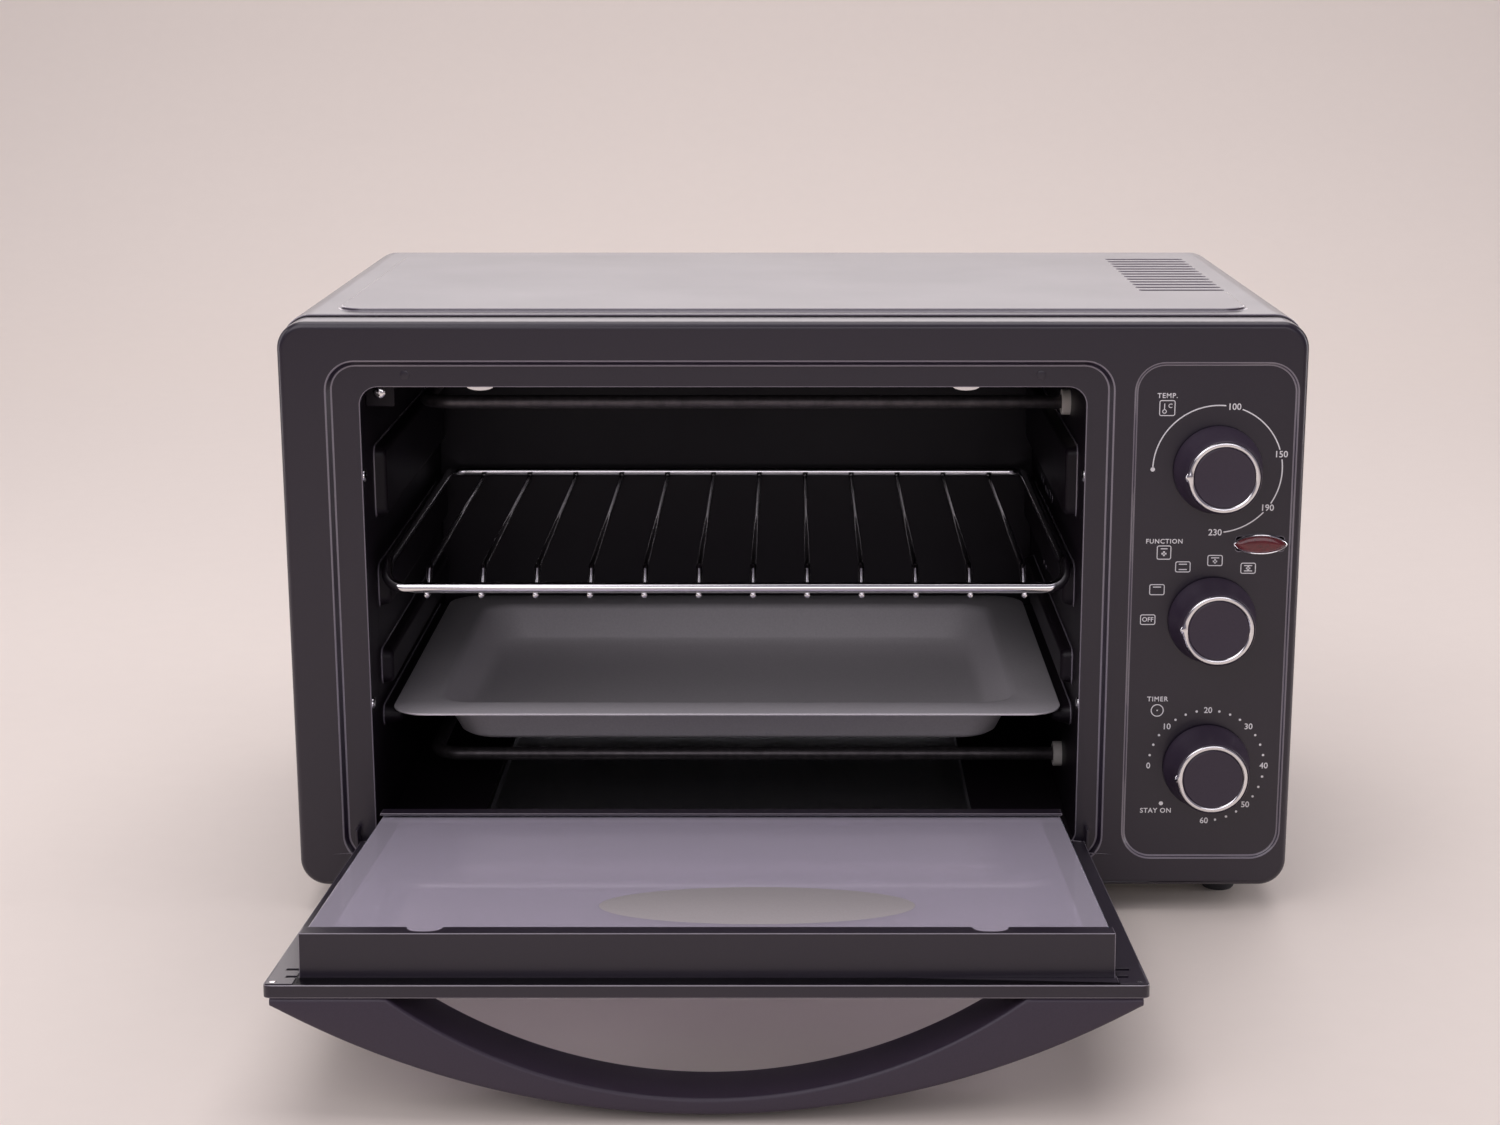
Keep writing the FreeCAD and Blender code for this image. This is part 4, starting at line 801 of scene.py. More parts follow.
class OVEN_OT_cavity(bpy.types.Operator):
    """Finish the cavity's walls and its small fittings"""
    bl_idname = "oven.cavity"
    bl_label = "Cavity"

    def execute(self, context):
        for node in ("cavity_roof", "cavity_floor", "cavity_back_wall"):
            soften_node(node, liner_coat(), 0.5)
        # The side walls' bevelled edges carry a painted highlight
        for node in ("cavity_left_wall", "cavity_right_wall"):
            soften_node(node, liner_coat(), 0.5, crease=20, highlight_edging=paint_edge())
        soften_node("crumb_tray", aluminium(), 0.25)
        soften_node("crumb_tray_guides", zinc(), 0.2)
        self.catches()
        self.rivets()
        return {"FINISHED"}

    def catches(self):
        """Two small bright pads, round below, in the opening's upper edge."""
        low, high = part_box("door_catches")
        wide = 12 * MM
        bm = bmesh.new()
        for x in (low.x + wide / 2, high.x - wide / 2):
            rings = []
            for share in range(9):
                turn = math.pi * share / 8
                across, drop = math.cos(turn) * wide / 2, math.sin(turn)
                bottom = high.z - 0.6 * MM - drop * (high.z - low.z - 0.6 * MM)
                rings.append([(x + across, low.y, high.z), (x + across, high.y, high.z),
                              (x + across, high.y, bottom), (x + across, low.y, bottom)])
            loft(bm, rings)
        seat(piece_from("catch_pads", bm), "oven", chrome(), ["door_catches"])

    def rivets(self):
        """Flat bright rivets on the opening's two side edges."""
        wall_left, wall_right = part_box("cavity_roof")[0].x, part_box("cavity_roof")[1].x
        y = FACE_Y + 12 * MM
        bm = bmesh.new()
        for z in (0.2, 0.095):
            for x, sign in ((wall_left, 1), (wall_right, -1)):
                profile = [(3 * MM, 0), (2.9 * MM, sign * 0.5 * MM), (2.2 * MM, sign * 1 * MM),
                           (1 * MM, sign * 1.2 * MM)]
                lathe(bm, (x, y, z), "x", profile, 24)
        seat(piece_from("liner_rivets", bm), "oven", chrome())


class OVEN_OT_heating(bpy.types.Operator):
    """Make the two heating elements and finish their beads"""
    bl_idname = "oven.heating"
    bl_label = "Heating elements"

    def execute(self, context):
        for name in ("upper", "lower"):
            low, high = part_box(name + "_heating_element")
            radius = (high.z - low.z) / 2
            level = (low.z + high.z) / 2
            x0, x1 = low.x + radius, high.x
            y0, y1 = low.y + radius, high.y - radius
            path = bent([(x1, y0, level), (x0, y0, level), (x0, y1, level), (x1, y1, level)],
                        radius * 4, steps=12)
            bm = bmesh.new()
            tube(bm, path, radius * 0.98, sides=24)
            seat(piece_from(name + "_element_tube", bm), "oven", sheath(),
                 [name + "_heating_element"])
        soften_node("element_beads", ceramic(), 0.4)
        return {"FINISHED"}


class OVEN_OT_works(bpy.types.Operator):
    """Finish what is behind the controls: fan, motor, switches, timer, lamp and terminals"""
    bl_idname = "oven.works"
    bl_label = "Works"

    def execute(self, context):
        glass = clear_material("lamp glass", (0.95, 0.88, 0.8), 0.05)
        soften_all(((("fan_case", "fan_motor", "fan_shaft", "timer_bell", "temperature_shaft",
                      "function_shaft", "timer_shaft"), zinc(), 0.3),
                    (("fan_blade",), aluminium(), 0.2),
                    (("thermostat", "function_switch", "timer_clockwork", "terminal_block"),
                     control_plastic(), 0.5),
                    (("pilot_neon",), glass, 0.4)))
        return {"FINISHED"}


def cross_head(bm, centre, radius, high, axis, sign):
    """A domed screw head with a cross-shaped recess in the middle of its face."""
    steps = 32
    centre = Vector(centre)
    along = Vector({"x": (1, 0, 0), "y": (0, 1, 0), "z": (0, 0, 1)}[axis]) * sign
    rings = [circle(centre, radius, axis, steps)]
    for share, lift in ((1.0, 0.25), (0.93, 0.55), (0.78, 0.8), (0.6, 0.93)):
        rings.append(circle(centre + along * high * lift, radius * share, axis, steps))
    for reach, waist, lift in ((0.5, 0.16, 0.97), (0.5, 0.16, 0.5), (0.3, 0.08, 0.35)):
        ring = []
        for index, spot in enumerate(circle(centre + along * high * lift, 1.0, axis, steps)):
            turn = (index % (steps // 4)) / (steps // 4)
            arm = abs(turn - 0.5) * 2
            share = reach if arm > 0.7 else waist
            ring.append(centre + along * high * lift
                        + (spot - centre - along * high * lift) * radius * share)
        rings.append(ring)
    loft(bm, rings)


class OVEN_OT_screws(bpy.types.Operator):
    """Make the cross-head screws in the cavity, on the rear panel and behind the handle"""
    bl_idname = "oven.screws"
    bl_label = "Screws"

    def execute(self, context):
        low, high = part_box("cavity_screw")
        bm = bmesh.new()
        cross_head(bm, ((low.x + high.x) / 2, high.y, (low.z + high.z) / 2), (high.x - low.x) / 2,
                   high.y - low.y, "y", -1)
        seat(piece_from("cavity_corner_screw", bm, 25), "oven", chrome(),
             ["cavity_screw"])
        low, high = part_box("panel_screws")
        radius = 3 * MM
        columns = (low.x + radius, (low.x + high.x) / 2, high.x - radius)
        rows = (low.z + radius, high.z - radius)
        bm = bmesh.new()
        for x in columns:
            for z in rows:
                cross_head(bm, (x, low.y, z), radius, high.y - low.y, "y", 1)
        seat(piece_from("rear_screws", bm, 25), "oven", zinc(), ["panel_screws"])
        soften_node("handle_screws", zinc(), 0.2)
        return {"FINISHED"}


class OVEN_OT_door(bpy.types.Operator):
    """Make the door's plate, inner frame, glass and corner clips"""
    bl_idname = "oven.door"
    bl_label = "Door"

    NOTCH_PLACE = 106 * MM

    def execute(self, context):
        # The plate's and rails' bevelled edges carry a painted highlight
        soften_node("door_panel", paint(), 0.35, highlight_edging=paint_edge())
        for node in ("door_bottom_rail", "door_left_rail", "door_right_rail"):
            soften_node(node, paint(), 0.25, highlight_edging=paint_edge())
        self.top_rail(context.scene.oven_door)
        self.glass(context)
        self.clips()
        return {"FINISHED"}

    def top_rail(self, own):
        """A folded channel whose lip has two round notches."""
        low, high = closed_box("door_top_rail")
        metal = 1 * MM
        glass_face = closed_box("door_glass")[0].y
        middle = (low.x + high.x) / 2
        spots = [(low.x, 0.0)]
        for centre in (middle - self.NOTCH_PLACE, middle + self.NOTCH_PLACE):
            for step in range(25):
                across = step / 12 - 1
                cut = (1 - abs(across) ** 3) ** 0.6
                spots.append((centre + across * own.notch, own.notch_deep * cut))
        spots.append((high.x, 0.0))
        bm = bmesh.new()
        rings = []
        for x, cut in spots:
            tip = low.z + cut
            section = [(low.y, low.z), (low.y, high.z), (high.y, high.z), (high.y, tip),
                       (high.y - metal, tip), (high.y - metal, high.z - metal),
                       (low.y + metal, high.z - metal), (low.y + metal, low.z + metal),
                       (glass_face, low.z + metal), (glass_face, low.z)]
            rings.append([OPEN_DOOR @ Vector((x, y, z)) for y, z in section])
        loft(bm, rings)
        rail = piece_from("top_rail", bm, 30)
        self.bevel(rail, 0.3)
        seat(rail, "door", paint(), ["door_top_rail"])
        # The rail's bevelled edges carry a painted highlight
        rail.data.materials.append(paint_edge())
        rail.modifiers["Edges"].material = 1

    def bevel(self, piece, width, crease=40):
        edge = piece.modifiers.new("Edges", "BEVEL")
        edge.width = width * MM
        edge.segments = 3
        edge.limit_method = "ANGLE"
        edge.angle_limit = math.radians(crease)
        piece.modifiers.new("Even shading", "WEIGHTED_NORMAL").keep_sharp = True

    def glass(self, context):
        low, high = closed_box("door_glass")
        tint = clear_material("door glass", context.scene.oven_door.glass, 0.05, 0.6)
        bm = bmesh.new()
        rings = []
        for y, inset in ((low.y, 0.5), (low.y + 0.5 * MM, 0.0), (high.y - 0.5 * MM, 0.0),
                         (high.y, 0.5)):
            shape = outline(low.x + inset * MM, high.x - inset * MM, low.z + inset * MM,
                            high.z - inset * MM, 2 * MM, 4)
            rings.append([OPEN_DOOR @ Vector((x, y, z)) for x, z in shape])
        loft(bm, rings)
        seat(piece_from("glass_pane", bm, 30), "door", tint, ["door_glass"])
        bm = bmesh.new()
        edges = []
        for y, out in ((low.y + 0.6 * MM, 0.05), (high.y - 0.6 * MM, 0.05),
                       (high.y - 0.6 * MM, -0.3), (low.y + 0.6 * MM, -0.3)):
            shape = outline(low.x - out * MM, high.x + out * MM, low.z - out * MM,
                            high.z + out * MM, 2 * MM, 4)
            edges.append([OPEN_DOOR @ Vector((x, y, z)) for x, z in shape])
        loft(bm, edges, closed=True)
        teal = clear_material("glass edge", (0.45, 0.78, 0.74), 0.2, 0.3)
        seat(piece_from("glass_cut_edge", bm, 30), "door", teal)
        bm = bmesh.new()
        own = context.scene.oven_door
        centre = Vector((own.patch_x, high.y, HINGE.z + own.patch_up))
        rings = []
        for lift, shrink in ((0.02, 0.0), (0.08, 0.1)):
            ring = []
            for step in range(96):
                turn = 2 * math.pi * step / 96
                spot = centre + Vector((math.cos(turn) * (own.patch_wide - shrink * MM), lift * MM,
                                        math.sin(turn) * (own.patch_tall - shrink * MM)))
                ring.append(OPEN_DOOR @ spot)
            rings.append(ring)
        loft(bm, rings)
        patch = piece_from("pale_glass_oval", bm, 60)
        seat(patch, "door", frosted_patch())

    def clips(self):
        """A slotted plate at each upper corner, with a bright pin at its outer end."""
        for side, sign in (("left", -1), ("right", 1)):
            low, high = closed_box(f"door_{side}_clip")
            outer = low.x if sign < 0 else high.x
            inner = high.x if sign < 0 else low.x
            bm = bmesh.new()
            rows = ((low.z, low.z + 7 * MM, 1.0), (low.z + 7 * MM, low.z + 9.5 * MM, 0.45),
                    (low.z + 9.5 * MM, low.z + 16 * MM, 1.0),
                    (low.z + 16 * MM, low.z + 18.5 * MM, 0.6), (low.z + 18.5 * MM, high.z, 1.0))
            shape = [(outer, row[end]) for row in rows for end in (0, 1)]
            inside = [(outer + (inner - outer) * row[2], row[end]) for row in rows
                      for end in (0, 1)]
            profile = shape + list(reversed(inside))
            rings = [[OPEN_DOOR @ Vector((x, y, z)) for x, z in profile]
                     for y in (low.y, high.y + 0.12 * MM)]
            loft(bm, rings)
            clip = piece_from(f"{side}_corner_clip", bm, 30)
            self.bevel(clip, 0.1)
            seat(clip, "door", paint(), [f"door_{side}_clip"])
            bm = bmesh.new()
            centre = Vector((outer + sign * -2.4 * MM, high.y - 0.1 * MM, high.z - 2.6 * MM))
            lathe(bm, centre, "y", [(1.5 * MM, 0), (1.45 * MM, 0.2 * MM), (1.0 * MM, 0.28 * MM),
                                    (0.3 * MM, 0.3 * MM)], 20)
            bm.transform(OPEN_DOOR)
            seat(piece_from(f"{side}_clip_pin", bm), "door", chrome())


class OVEN_OT_handle(bpy.types.Operator):
    """Make the bow handle with its soft edges"""
    bl_idname = "oven.handle"
    bl_label = "Handle"

    def execute(self, context):
        own = context.scene.oven_door
        low, high = closed_box("door_handle")
        middle = (low.x + high.x) / 2
        outer = arc_through(low.x, high.x, high.y - own.handle_toe, middle, low.y)
        inner = arc_through(low.x + own.handle_foot, high.x - own.handle_foot, high.y, middle,
                            low.y + own.handle_middle)
        soft = 1.6 * MM
        rings = []
        count = 121
        for step in range(count):
            share = step / (count - 1)
            x = low.x + (high.x - low.x) * share
            front = outer(x)
            back = high.y
            if low.x + own.handle_foot < x < high.x - own.handle_foot:
                back = inner(x)
            turn = min(soft, (back - front) * 0.42)
            section = outline(front, back, low.z, high.z, turn, 5)
            rings.append([OPEN_DOOR @ Vector((x, y, z)) for y, z in section])
        bm = bmesh.new()
        loft(bm, rings)
        seat(piece_from("bow_handle", bm, 42), "door", plastic(),
             ["door_handle"])
        return {"FINISHED"}


def arc_through(x0, x1, y_ends, x_middle, y_middle):
    """The round curve through two ends and a middle, as a function of x."""
    half, rise = (x1 - x0) / 2, y_ends - y_middle
    radius = (half ** 2 + rise ** 2) / (2 * rise)
    return lambda x: y_middle + radius - math.sqrt(max(radius ** 2 - (x - x_middle) ** 2, 0))


class OVEN_OT_rack(bpy.types.Operator):
    """Make the wire rack"""
    bl_idname = "oven.rack"
    bl_label = "Rack"

    def execute(self, context):
        own = context.scene.oven_rack
        low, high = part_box("wire_rack")
        bar, thin = own.frame, own.wire
        x0, x1 = low.x + bar, high.x - bar
        front, back = low.y + bar, high.y - bar
        level = high.z - bar
        overlap = 0.6 * MM
        dip = low.z + 2 * thin + bar - overlap
        lead = front + 10.5 * MM
        path = bent([(x0, back, level), (x0, lead, level), (x0, front, dip), (x1, front, dip),
                     (x1, lead, level), (x1, back, level)], 8.5 * MM, closed=True, steps=10)
        bm = bmesh.new()
        tube(bm, path, bar, closed=True, sides=20)
        pitch = (x1 - x0) / (own.wires + 0.5)
        top, under = level - bar - thin + overlap, dip - bar - thin + overlap
        for step in range(own.wires):
            x = (x0 + x1) / 2 + (step - (own.wires - 1) / 2) * pitch
            wire = bent([(x, front - 0.2 * MM, under), (x, front + 5 * MM, under),
                         (x, front + 13 * MM, top), (x, back - 0.6 * MM, top)], thin * 2, steps=5)
            tube(bm, wire, thin, sides=14)
        seat(piece_from("chrome_rack", bm, 60), "rack", chrome(), ["wire_rack"])
        return {"FINISHED"}


class OVEN_OT_pan(bpy.types.Operator):
    """Make the baking pan with its rolled rim"""
    bl_idname = "oven.pan"
    bl_label = "Baking pan"

    def execute(self, context):
        own = context.scene.oven_pan
        low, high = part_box("baking_pan")
        metal, draft = 1.2 * MM, 9 * MM
        deep = high.z - low.z

        def ring(inset, level, turn):
            shape = outline(low.x + inset, high.x - inset, low.y + inset, high.y - inset, turn, 10)
            return [(x, y, level) for x, y in shape]

        corner, rim = own.corner, own.rim
        top, bottom = high.z, low.z
        profile = [
            (rim + draft + 30 * MM, bottom, corner), (rim + draft + 6 * MM, bottom, corner),
            (rim + draft + 1.5 * MM, bottom + 0.6 * MM, corner),
            (rim + draft - 0.6 * MM, bottom + 2.4 * MM, corner),
            (rim + 3 * MM, top - metal - 4.5 * MM, corner),
            (rim + 1 * MM, top - metal - 1.6 * MM, corner),
            (rim - 1.4 * MM, top - metal, corner), (0.8 * MM, top - metal, corner),
            (0.15 * MM, top - metal * 0.85, corner), (0, top - metal * 0.5, corner),
            (0.15 * MM, top - metal * 0.15, corner), (0.8 * MM, top, corner),
            (rim - 1.4 * MM, top, corner), (rim + 1.0 * MM, top - 0.5 * MM, corner),
            (rim + 2.6 * MM, top - 2.2 * MM, corner),
            (rim + draft - 1.8 * MM + metal, bottom + metal + 4 * MM, corner),
            (rim + draft + 0.8 * MM + metal, bottom + metal + 1.3 * MM, corner),
            (rim + draft + 4 * MM + metal, bottom + metal, corner),
            (rim + draft + 28 * MM, bottom + metal, corner)]
        bm = bmesh.new()
        loft(bm, [ring(*spot) for spot in profile])
        pan = piece_from("satin_pan", bm, 50)
        seat(pan, "pan", pan_coat(), ["baking_pan"])
        if deep < rim:
            raise RuntimeError("the pan is shallower than its rim is wide")
        return {"FINISHED"}


class OVEN_OT_knobs(bpy.types.Operator):
    """Make the three knobs with their bright rings and index bumps"""
    bl_idname = "oven.knobs"
    bl_label = "Knobs"

    def execute(self, context):
        own = context.scene.oven_knobs
        for control in ("temperature", "function", "timer"):
            low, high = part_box(control + "_knob")
            spot = knob_spot(control)
            wide, tall = (high.x - low.x) / 2, high.y - low.y
            ring_low, ring_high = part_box(control + "_knob_ring")
            ring_out = (ring_high.x - ring_low.x) / 2
            ring_in = ring_out - 2.6 * MM
            face = ring_out + 0.4 * MM
            self.knob(control, spot, wide, tall, face, ring_out, ring_in, own)
            self.ring(control, spot, tall, ring_out, ring_in, own)
        return {"FINISHED"}

    def knob(self, control, spot, wide, tall, face, ring_out, ring_in, own):
        profile = [(wide - 1.6 * MM, 0), (wide - 0.5 * MM, -0.1 * MM), (wide, -0.7 * MM),
                   (wide - 0.05 * MM, -1.6 * MM)]
        for step in range(1, 9):
            share = step / 9
            curve = math.sin(share * math.pi) * own.waist
            profile.append((wide + (face - wide) * share - curve,
                            -1.6 * MM - share * (tall - 2.4 * MM)))
        profile += [(face, -tall + 0.8 * MM), (face - 0.15 * MM, -tall + 0.25 * MM),
                    (ring_out, -tall), (ring_out - 0.05 * MM, -tall + 1 * MM),
                    (ring_in, -tall + 1 * MM), (ring_in, -tall + 0.3 * MM),
                    (ring_in - 0.4 * MM, -tall), (ring_in * 0.8, -tall + 0.25 * MM),
                    (ring_in * 0.4, -tall + 0.42 * MM), (0.5 * MM, -tall + 0.45 * MM)]
        bm = bmesh.new()
        lathe(bm, spot, "y", profile, 96)
        seat(piece_from(control + "_turning_knob", bm, 32), control + "_control",
             plastic(), [control + "_knob"])

    def ring(self, control, spot, tall, ring_out, ring_in, own):
        """A bright rounded ring with a small index bump at nine o'clock."""
        steps = 120
        rings = []
        half, middle = (ring_out - ring_in) / 2, (ring_out + ring_in) / 2
        for step in range(steps):
            turn = 2 * math.pi * step / steps
            off = abs(turn - math.pi) * middle
            swell = own.bump * math.exp(-((off / (1.9 * MM)) ** 2))
            away = Vector((math.cos(turn), 0, math.sin(turn)))
            section = []
            for side in range(10):
                angle = math.pi * side / 9
                reach = middle + math.cos(angle) * (half + (swell if side < 5 else 0))
                proud = -tall + 0.9 * MM - math.sin(angle) * (0.9 * MM + swell * 0.25)
                section.append(spot + away * reach + Vector((0, proud, 0)))
            rings.append(section)
        bm = bmesh.new()
        loft(bm, rings, closed=True)
        seat(piece_from(control + "_bright_ring", bm, 60), control + "_control",
             chrome(), [control + "_knob_ring"])


class OVEN_OT_lamp(bpy.types.Operator):
    """Make the pilot lamp's lens and its bright rim"""
    bl_idname = "oven.lamp"
    bl_label = "Pilot lamp"

    def execute(self, context):
        low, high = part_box("pilot_bezel")
        centre = (low + high) / 2
        half, tall = (high.x - low.x) / 2, (high.z - low.z) / 2

        def eye(scale, y):
            ring = []
            for step in range(72):
                turn = 2 * math.pi * step / 72
                across, up = math.cos(turn), math.sin(turn)
                pinch = 1 - 0.28 * abs(across) ** 3
                ring.append((centre.x + across * (half - (1 - scale) * half * 0.4),
                             y, centre.z + up * tall * scale * pinch))
            return ring

        bm = bmesh.new()
        loft(bm, [eye(1.0, high.y), eye(1.0, low.y + 0.8 * MM), eye(0.96, low.y + 0.2 * MM),
                  eye(0.88, low.y), eye(0.8, low.y + 0.3 * MM), eye(0.78, high.y)], closed=True)
        seat(piece_from("lamp_rim", bm, 50), "oven", chrome(), ["pilot_bezel"])
        bm = bmesh.new()
        loft(bm, [eye(0.79, high.y), eye(0.79, low.y + 0.9 * MM), eye(0.6, low.y + 0.45 * MM),
                  eye(0.3, low.y + 0.25 * MM), eye(0.05, low.y + 0.2 * MM)])
        lens = finish_for(
            "red lens", (0.16, 0.006, 0.014),
            ("grain", {"Scale": 420.0, "Mottle": 1.1, "Roughness": 0.2, "Gloss Change": 0.06}), [],
            bump=0.3, Coat_Weight=0.6, Coat_Roughness=0.08, Transmission_Weight=0.25)
        seat(piece_from("lamp_lens", bm, 50), "oven", lens, ["pilot_lens"])
        return {"FINISHED"}


class OVEN_OT_dials(bpy.types.Operator):
    """Print the scales, numbers and symbols round the knobs"""
    bl_idname = "oven.dials"
    bl_label = "Dial printing"

    INK = 0.06 * MM

    def execute(self, context):
        own = context.scene.oven_dials
        self.stroke, self.letter = own.stroke, own.letter
        self.field = FACE_Y + 1 * MM
        self.temperature(own)
        self.function(own)
        self.timer(own)
        return {"FINISHED"}

    def around(self, spot, radius, degrees):
        """A place round a knob, by the angle clockwise from nine o'clock."""
        turn = math.radians(180 - degrees)
        return spot.x + radius * math.cos(turn), spot.z + radius * math.sin(turn)

    def arc(self, bm, spot, radius, first, last):
        steps = max(4, int((last - first) / 3))
        path = [self.around(spot, radius, first + (last - first) * step / steps)
                for step in range(steps + 1)]
        ribbon(bm, path, self.stroke, self.field, self.INK)

    def ring(self, bm, x, z, radius, width):
        turns = [math.radians(turn) for turn in range(0, 360, 12)]
        path = [(x + radius * math.cos(turn), z + radius * math.sin(turn)) for turn in turns]
        ribbon(bm, path, width, self.field, self.INK, closed=True)

    def dot(self, bm, x, z, radius):
        lathe(bm, (x, self.field, z), "y", [(radius, 0), (radius, -self.INK)], 16)

    def line(self, bm, x0, z0, x1, z1, width):
        ribbon(bm, [(x0, z0), (x1, z1)], width, self.field, self.INK)

    def frame(self, bm, x, z, wide, tall):
        path = outline(x - wide / 2, x + wide / 2, z - tall / 2, z + tall / 2, 0.7 * MM, 3)
        ribbon(bm, path, self.stroke * 0.7, self.field, self.INK, closed=True)

    def words(self, bm, text, x, z, tall, spacing=1.0):
        """Adds upright lettering, centred on a place, to a mesh."""
        curve = bpy.data.curves.new("lettering", "FONT")
        curve.body = text
        curve.size = tall / 0.72
        curve.align_x = "CENTER"
        curve.align_y = "CENTER"
        curve.space_character = spacing
        curve.extrude = self.INK / 2
        curve.offset = tall * 0.018
        curve.resolution_u = 3
        holder = bpy.data.objects.new("lettering", curve)
        mesh = bpy.data.meshes.new_from_object(holder)
        mesh.transform(Matrix.Translation((x, self.field - self.INK / 2, z))
                       @ Matrix.Rotation(math.radians(90), 4, "X"))
        bm.from_mesh(mesh)
        bpy.data.objects.remove(holder)
        bpy.data.curves.remove(curve)
        bpy.data.meshes.remove(mesh)

    def done(self, bm, name):
        seat(piece_from(name, bm, 30), "oven", print_ink())

    def temperature(self, own):
        spot = knob_spot("temperature")
        bm = bmesh.new()
        marks = (("100", 103, 7.5), ("150", 166.5, 4.5), ("190", 217.5, 5.0), ("230", 270, 7.5))
        start = 1.5
        for text, degrees, gap in marks:
            self.arc(bm, spot, own.radius, start, degrees - gap)
            start = degrees + gap
            x, z = self.around(spot, own.radius, degrees)
            self.words(bm, text, x, z, self.letter)
        self.dot(bm, *self.around(spot, own.radius, 0), 1.0 * MM)
        x, z = spot.x - 22.9 * MM, spot.z + 27.2 * MM
        self.words(bm, "TEMP.", x, z + 5.4 * MM, self.letter * 0.76, 1.15)
        self.frame(bm, x, z, 6.6 * MM, 6.6 * MM)
        self.ring(bm, x - 1.2 * MM, z - 1.5 * MM, 0.8 * MM, 0.35 * MM)
        self.line(bm, x - 1.2 * MM, z - 0.7 * MM, x - 1.2 * MM, z + 2 * MM, 0.4 * MM)
        self.words(bm, "C", x + 1.3 * MM, z + 0.9 * MM, 1.9 * MM)
        self.done(bm, "temperature_print")

    def element_symbol(self, bm, x, z, top, bottom, fan):
        """A cavity outline with its working elements and fan drawn inside."""
        self.frame(bm, x, z, 6.4 * MM, 4.6 * MM)
        reach, rise = 1.8 * MM, 1.2 * MM
        for shown, level in ((top, rise), (bottom, -rise)):
            if shown:
                self.line(bm, x - reach, z + level, x + reach, z + level, 0.42 * MM)
        if fan:
            blade = 0.95 * MM
            low = z - (0 if bottom else 0.4 * MM)
            for turn in range(4):
                angle = math.radians(turn * 90)
                tip_x, tip_z = blade * math.cos(angle), blade * math.sin(angle)
                self.line(bm, x, low, x + tip_x, low + tip_z, 0.75 * MM)

    def function(self, own):
        spot = knob_spot("function")
        bm = bmesh.new()
        x, z = self.around(spot, own.radius, 0)
        self.frame(bm, x, z, 6.4 * MM, 4.4 * MM)
        self.words(bm, "OFF", x, z, 2.1 * MM)
        symbols = ((29, 28.3, True, False, False), (60.5, 27.7, True, True, False),
                   (91, 27, True, False, True), (123, 28, True, True, True))
        for degrees, radius, top, bottom, fan in symbols:
            x, z = self.around(spot, radius * MM, degrees)
            self.element_symbol(bm, x, z, top, bottom, fan)
        x, z = spot.x - 22.2 * MM, spot.z + 30.6 * MM
        self.words(bm, "FUNCTION", x, z + 5 * MM, self.letter * 0.72, 1.15)
        self.frame(bm, x, z, 6 * MM, 6 * MM)
        self.line(bm, x - 1.5 * MM, z + 1.7 * MM, x + 1.5 * MM, z + 1.7 * MM, 0.42 * MM)
        for turn in range(4):
            angle = math.radians(turn * 90)
            self.line(bm, x, z - 0.5 * MM, x + 1.1 * MM * math.cos(angle),
                      z - 0.5 * MM + 1.1 * MM * math.sin(angle), 0.8 * MM)
        self.done(bm, "function_print")

    def timer(self, own):
        spot = knob_spot("timer")
        bm = bmesh.new()
        per_minute = 4.5
        for step in range(25):
            minutes = step * 2.5
            x, z = self.around(spot, own.minutes_radius, minutes * per_minute)
            if step % 4 == 0:
                self.words(bm, str(int(minutes)), x, z, self.letter * 0.95)
            else:
                self.dot(bm, x, z, 0.55 * MM)
        self.dot(bm, *self.around(spot, 26.5 * MM, 318), 0.95 * MM)
        x, z = spot.x - 22.8 * MM, spot.z + 26 * MM
        self.words(bm, "STAY ON", x + 0.8 * MM, spot.z - 21.2 * MM, self.letter * 0.78, 1.1)
        self.words(bm, "TIMER", x, z + 5.2 * MM, self.letter * 0.76, 1.15)
        self.ring(bm, x, z, 2.7 * MM, 0.42 * MM)
        self.dot(bm, x, z, 0.35 * MM)
        self.done(bm, "timer_print")


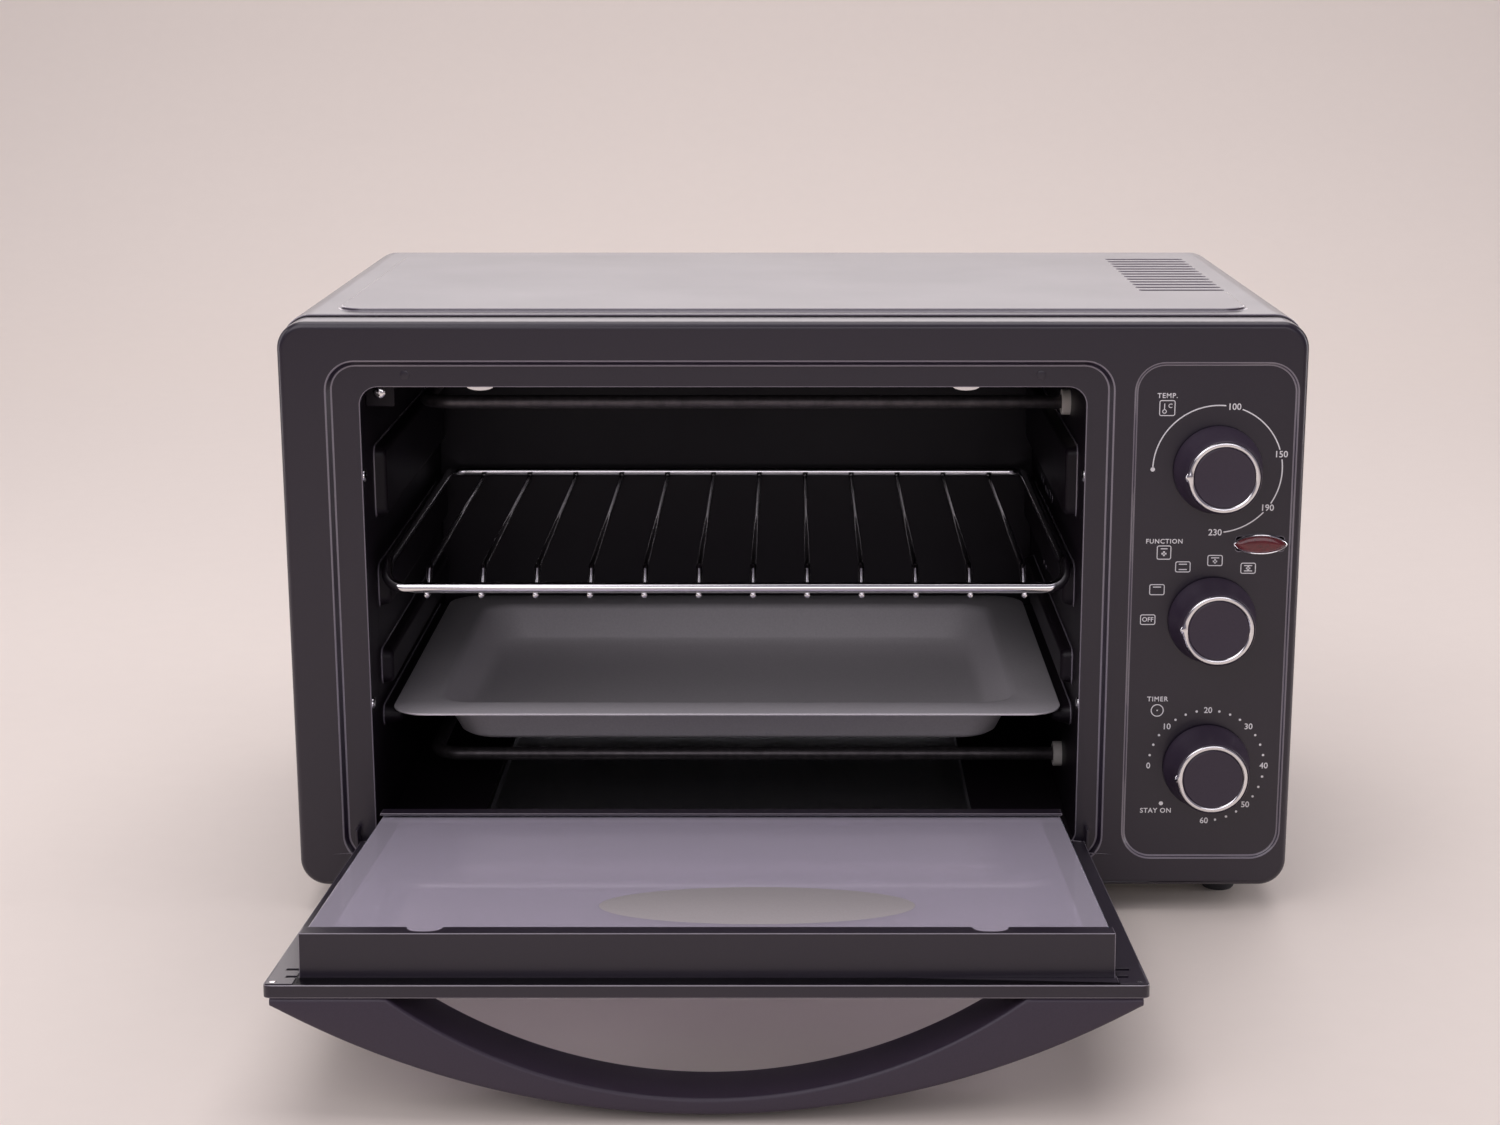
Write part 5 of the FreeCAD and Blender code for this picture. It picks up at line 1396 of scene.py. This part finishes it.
class OVEN_OT_stage(bpy.types.Operator):
    """Lay the floor, hang the lights and place the camera"""
    bl_idname = "oven.stage"
    bl_label = "Stage"

    # The floor runs this far each way, turns up at BEND_AT and ends at the backdrop's top
    REACH = 14.0
    BEND_AT = 1.6
    BEND = 0.9
    BACKDROP = 5.0
    LIGHT_TINT = (1.0, 0.955, 1.0)
    SENSOR = 36.0
    SHIFT = -0.0287

    def execute(self, context):
        own = context.scene.oven_stage
        self.floor(own)
        self.world(context)
        self.lights(context)
        self.camera(context, own)
        return {"FINISHED"}

    def floor(self, own):
        """A wide pale floor that curves up into a backdrop."""
        bm = bmesh.new()
        profile = [(-self.REACH, 0.0), (self.BEND_AT, 0.0)]
        for degrees in range(10, 91, 10):
            turn = math.radians(degrees)
            profile.append((self.BEND_AT + self.BEND * math.sin(turn),
                            self.BEND - self.BEND * math.cos(turn)))
        profile.append((self.BEND_AT + self.BEND, self.BACKDROP))
        rows = [[bm.verts.new((x, y, z)) for x in (-self.REACH, self.REACH)]
                for y, z in profile]
        for near, far in zip(rows, rows[1:]):
            bm.faces.new((near[0], near[1], far[1], far[0]))
        sheet = piece_from("floor", bm, 40)
        material = finish_for(
            "floor", own.floor,
            ("grain", {"Scale": 60.0, "Mottle": 0.03, "Roughness": 0.6, "Gloss Change": 0.05}), [],
            bump=0.0)
        sheet.data.materials.append(material)

    def world(self, context):
        world = bpy.data.worlds.new("studio")
        context.scene.world = world
        world.use_nodes = True
        back = world.node_tree.nodes["Background"]
        back.inputs["Color"].default_value = (0.9, 0.82, 1.0, 1)
        back.inputs["Strength"].default_value = 0.22

    def lights(self, context):
        """Soft panels: key, front fill, overhead, one low behind the oven and a strip each side."""
        centre = (CAD_BOX[0] + CAD_BOX[1]) / 2
        own = context.scene.oven_stage
        panels = (("key", (-0.9, -1.3, 1.5), 1.4, 1.4, 12.0),
                  ("fill", (0.2, -1.9, 0.75), 1.4, 0.8, 5.0),
                  ("overhead", (0.0, 0.3, 2.0), 2.0, 2.0, 22.0),
                  ("behind", (0.0, 2.25, 0.98), 3.4, 1.05, 16.0),
                  ("left strip", (-1.3, -0.05, 0.45), 0.25, 1.2, 4.0),
                  ("right strip", (1.3, -0.05, 0.45), 0.25, 1.2, 5.0))
        for name, spot, wide, tall, power in panels:
            data = bpy.data.lights.new(name, "AREA")
            data.shape = "RECTANGLE"
            data.size, data.size_y = wide, tall
            data.energy = power * own.brightness
            lamp = bpy.data.objects.new(name, data)
            lamp.location = spot
            lamp.rotation_mode = "QUATERNION"
            lamp.rotation_quaternion = (centre - Vector(spot)).to_track_quat("-Z", "Y")
            lamp.visible_camera = False
            data.color = self.LIGHT_TINT
            context.collection.objects.link(lamp)

    def camera(self, context, own):
        data = bpy.data.cameras.new("camera")
        data.lens = own.lens
        data.sensor_width = self.SENSOR
        data.shift_x = self.SHIFT
        data.clip_start, data.clip_end = 0.05, 50.0
        holder = bpy.data.objects.new("camera", data)
        holder.location = (0.0, FACE_Y - own.camera_back, own.camera_height)
        holder.rotation_euler = (math.radians(90) - own.camera_dip, 0.0, 0.0)
        context.collection.objects.link(holder)
        context.scene.camera = holder
        context.scene.view_settings.view_transform = "Standard"


# ---------------------------------------------------------------------------------------------
# Panel and registration

SETTINGS = (("oven_casing", OvenCasingSettings), ("oven_cavity", OvenCavitySettings),
            ("oven_knobs", OvenKnobSettings), ("oven_dials", OvenDialSettings),
            ("oven_rack", OvenRackSettings), ("oven_pan", OvenPanSettings),
            ("oven_door", OvenDoorSettings), ("oven_stage", OvenStageSettings))
OPERATORS = (OVEN_OT_casing, OVEN_OT_dimples, OVEN_OT_feet, OVEN_OT_cavity, OVEN_OT_heating,
             OVEN_OT_works, OVEN_OT_screws, OVEN_OT_door, OVEN_OT_handle, OVEN_OT_rack,
             OVEN_OT_pan, OVEN_OT_knobs, OVEN_OT_lamp, OVEN_OT_dials, OVEN_OT_stage)


class OVEN_PT_pieces(bpy.types.Panel):
    """Lists the oven's pieces in the sidebar"""
    bl_idname = "OVEN_PT_pieces"
    bl_label = "Toaster Oven"
    bl_space_type = "VIEW_3D"
    bl_region_type = "UI"
    bl_category = "Oven"

    def draw(self, context):
        for operator in OPERATORS:
            self.layout.operator(operator.bl_idname)
        for name, group in SETTINGS:
            box = self.layout.box()
            for setting in group.__annotations__:
                box.prop(getattr(context.scene, name), setting)


def register():
    for name, group in SETTINGS:
        bpy.utils.register_class(group)
        setattr(bpy.types.Scene, name, PointerProperty(type=group))
    for operator in OPERATORS:
        bpy.utils.register_class(operator)
    bpy.utils.register_class(OVEN_PT_pieces)


def unregister():
    bpy.utils.unregister_class(OVEN_PT_pieces)
    for operator in reversed(OPERATORS):
        bpy.utils.unregister_class(operator)
    for name, group in reversed(SETTINGS):
        delattr(bpy.types.Scene, name)
        bpy.utils.unregister_class(group)


def main():
    register()
    for operator in OPERATORS:
        family, piece = operator.bl_idname.split(".")
        getattr(getattr(bpy.ops, family), piece)()


if __name__ == "__main__":
    main()
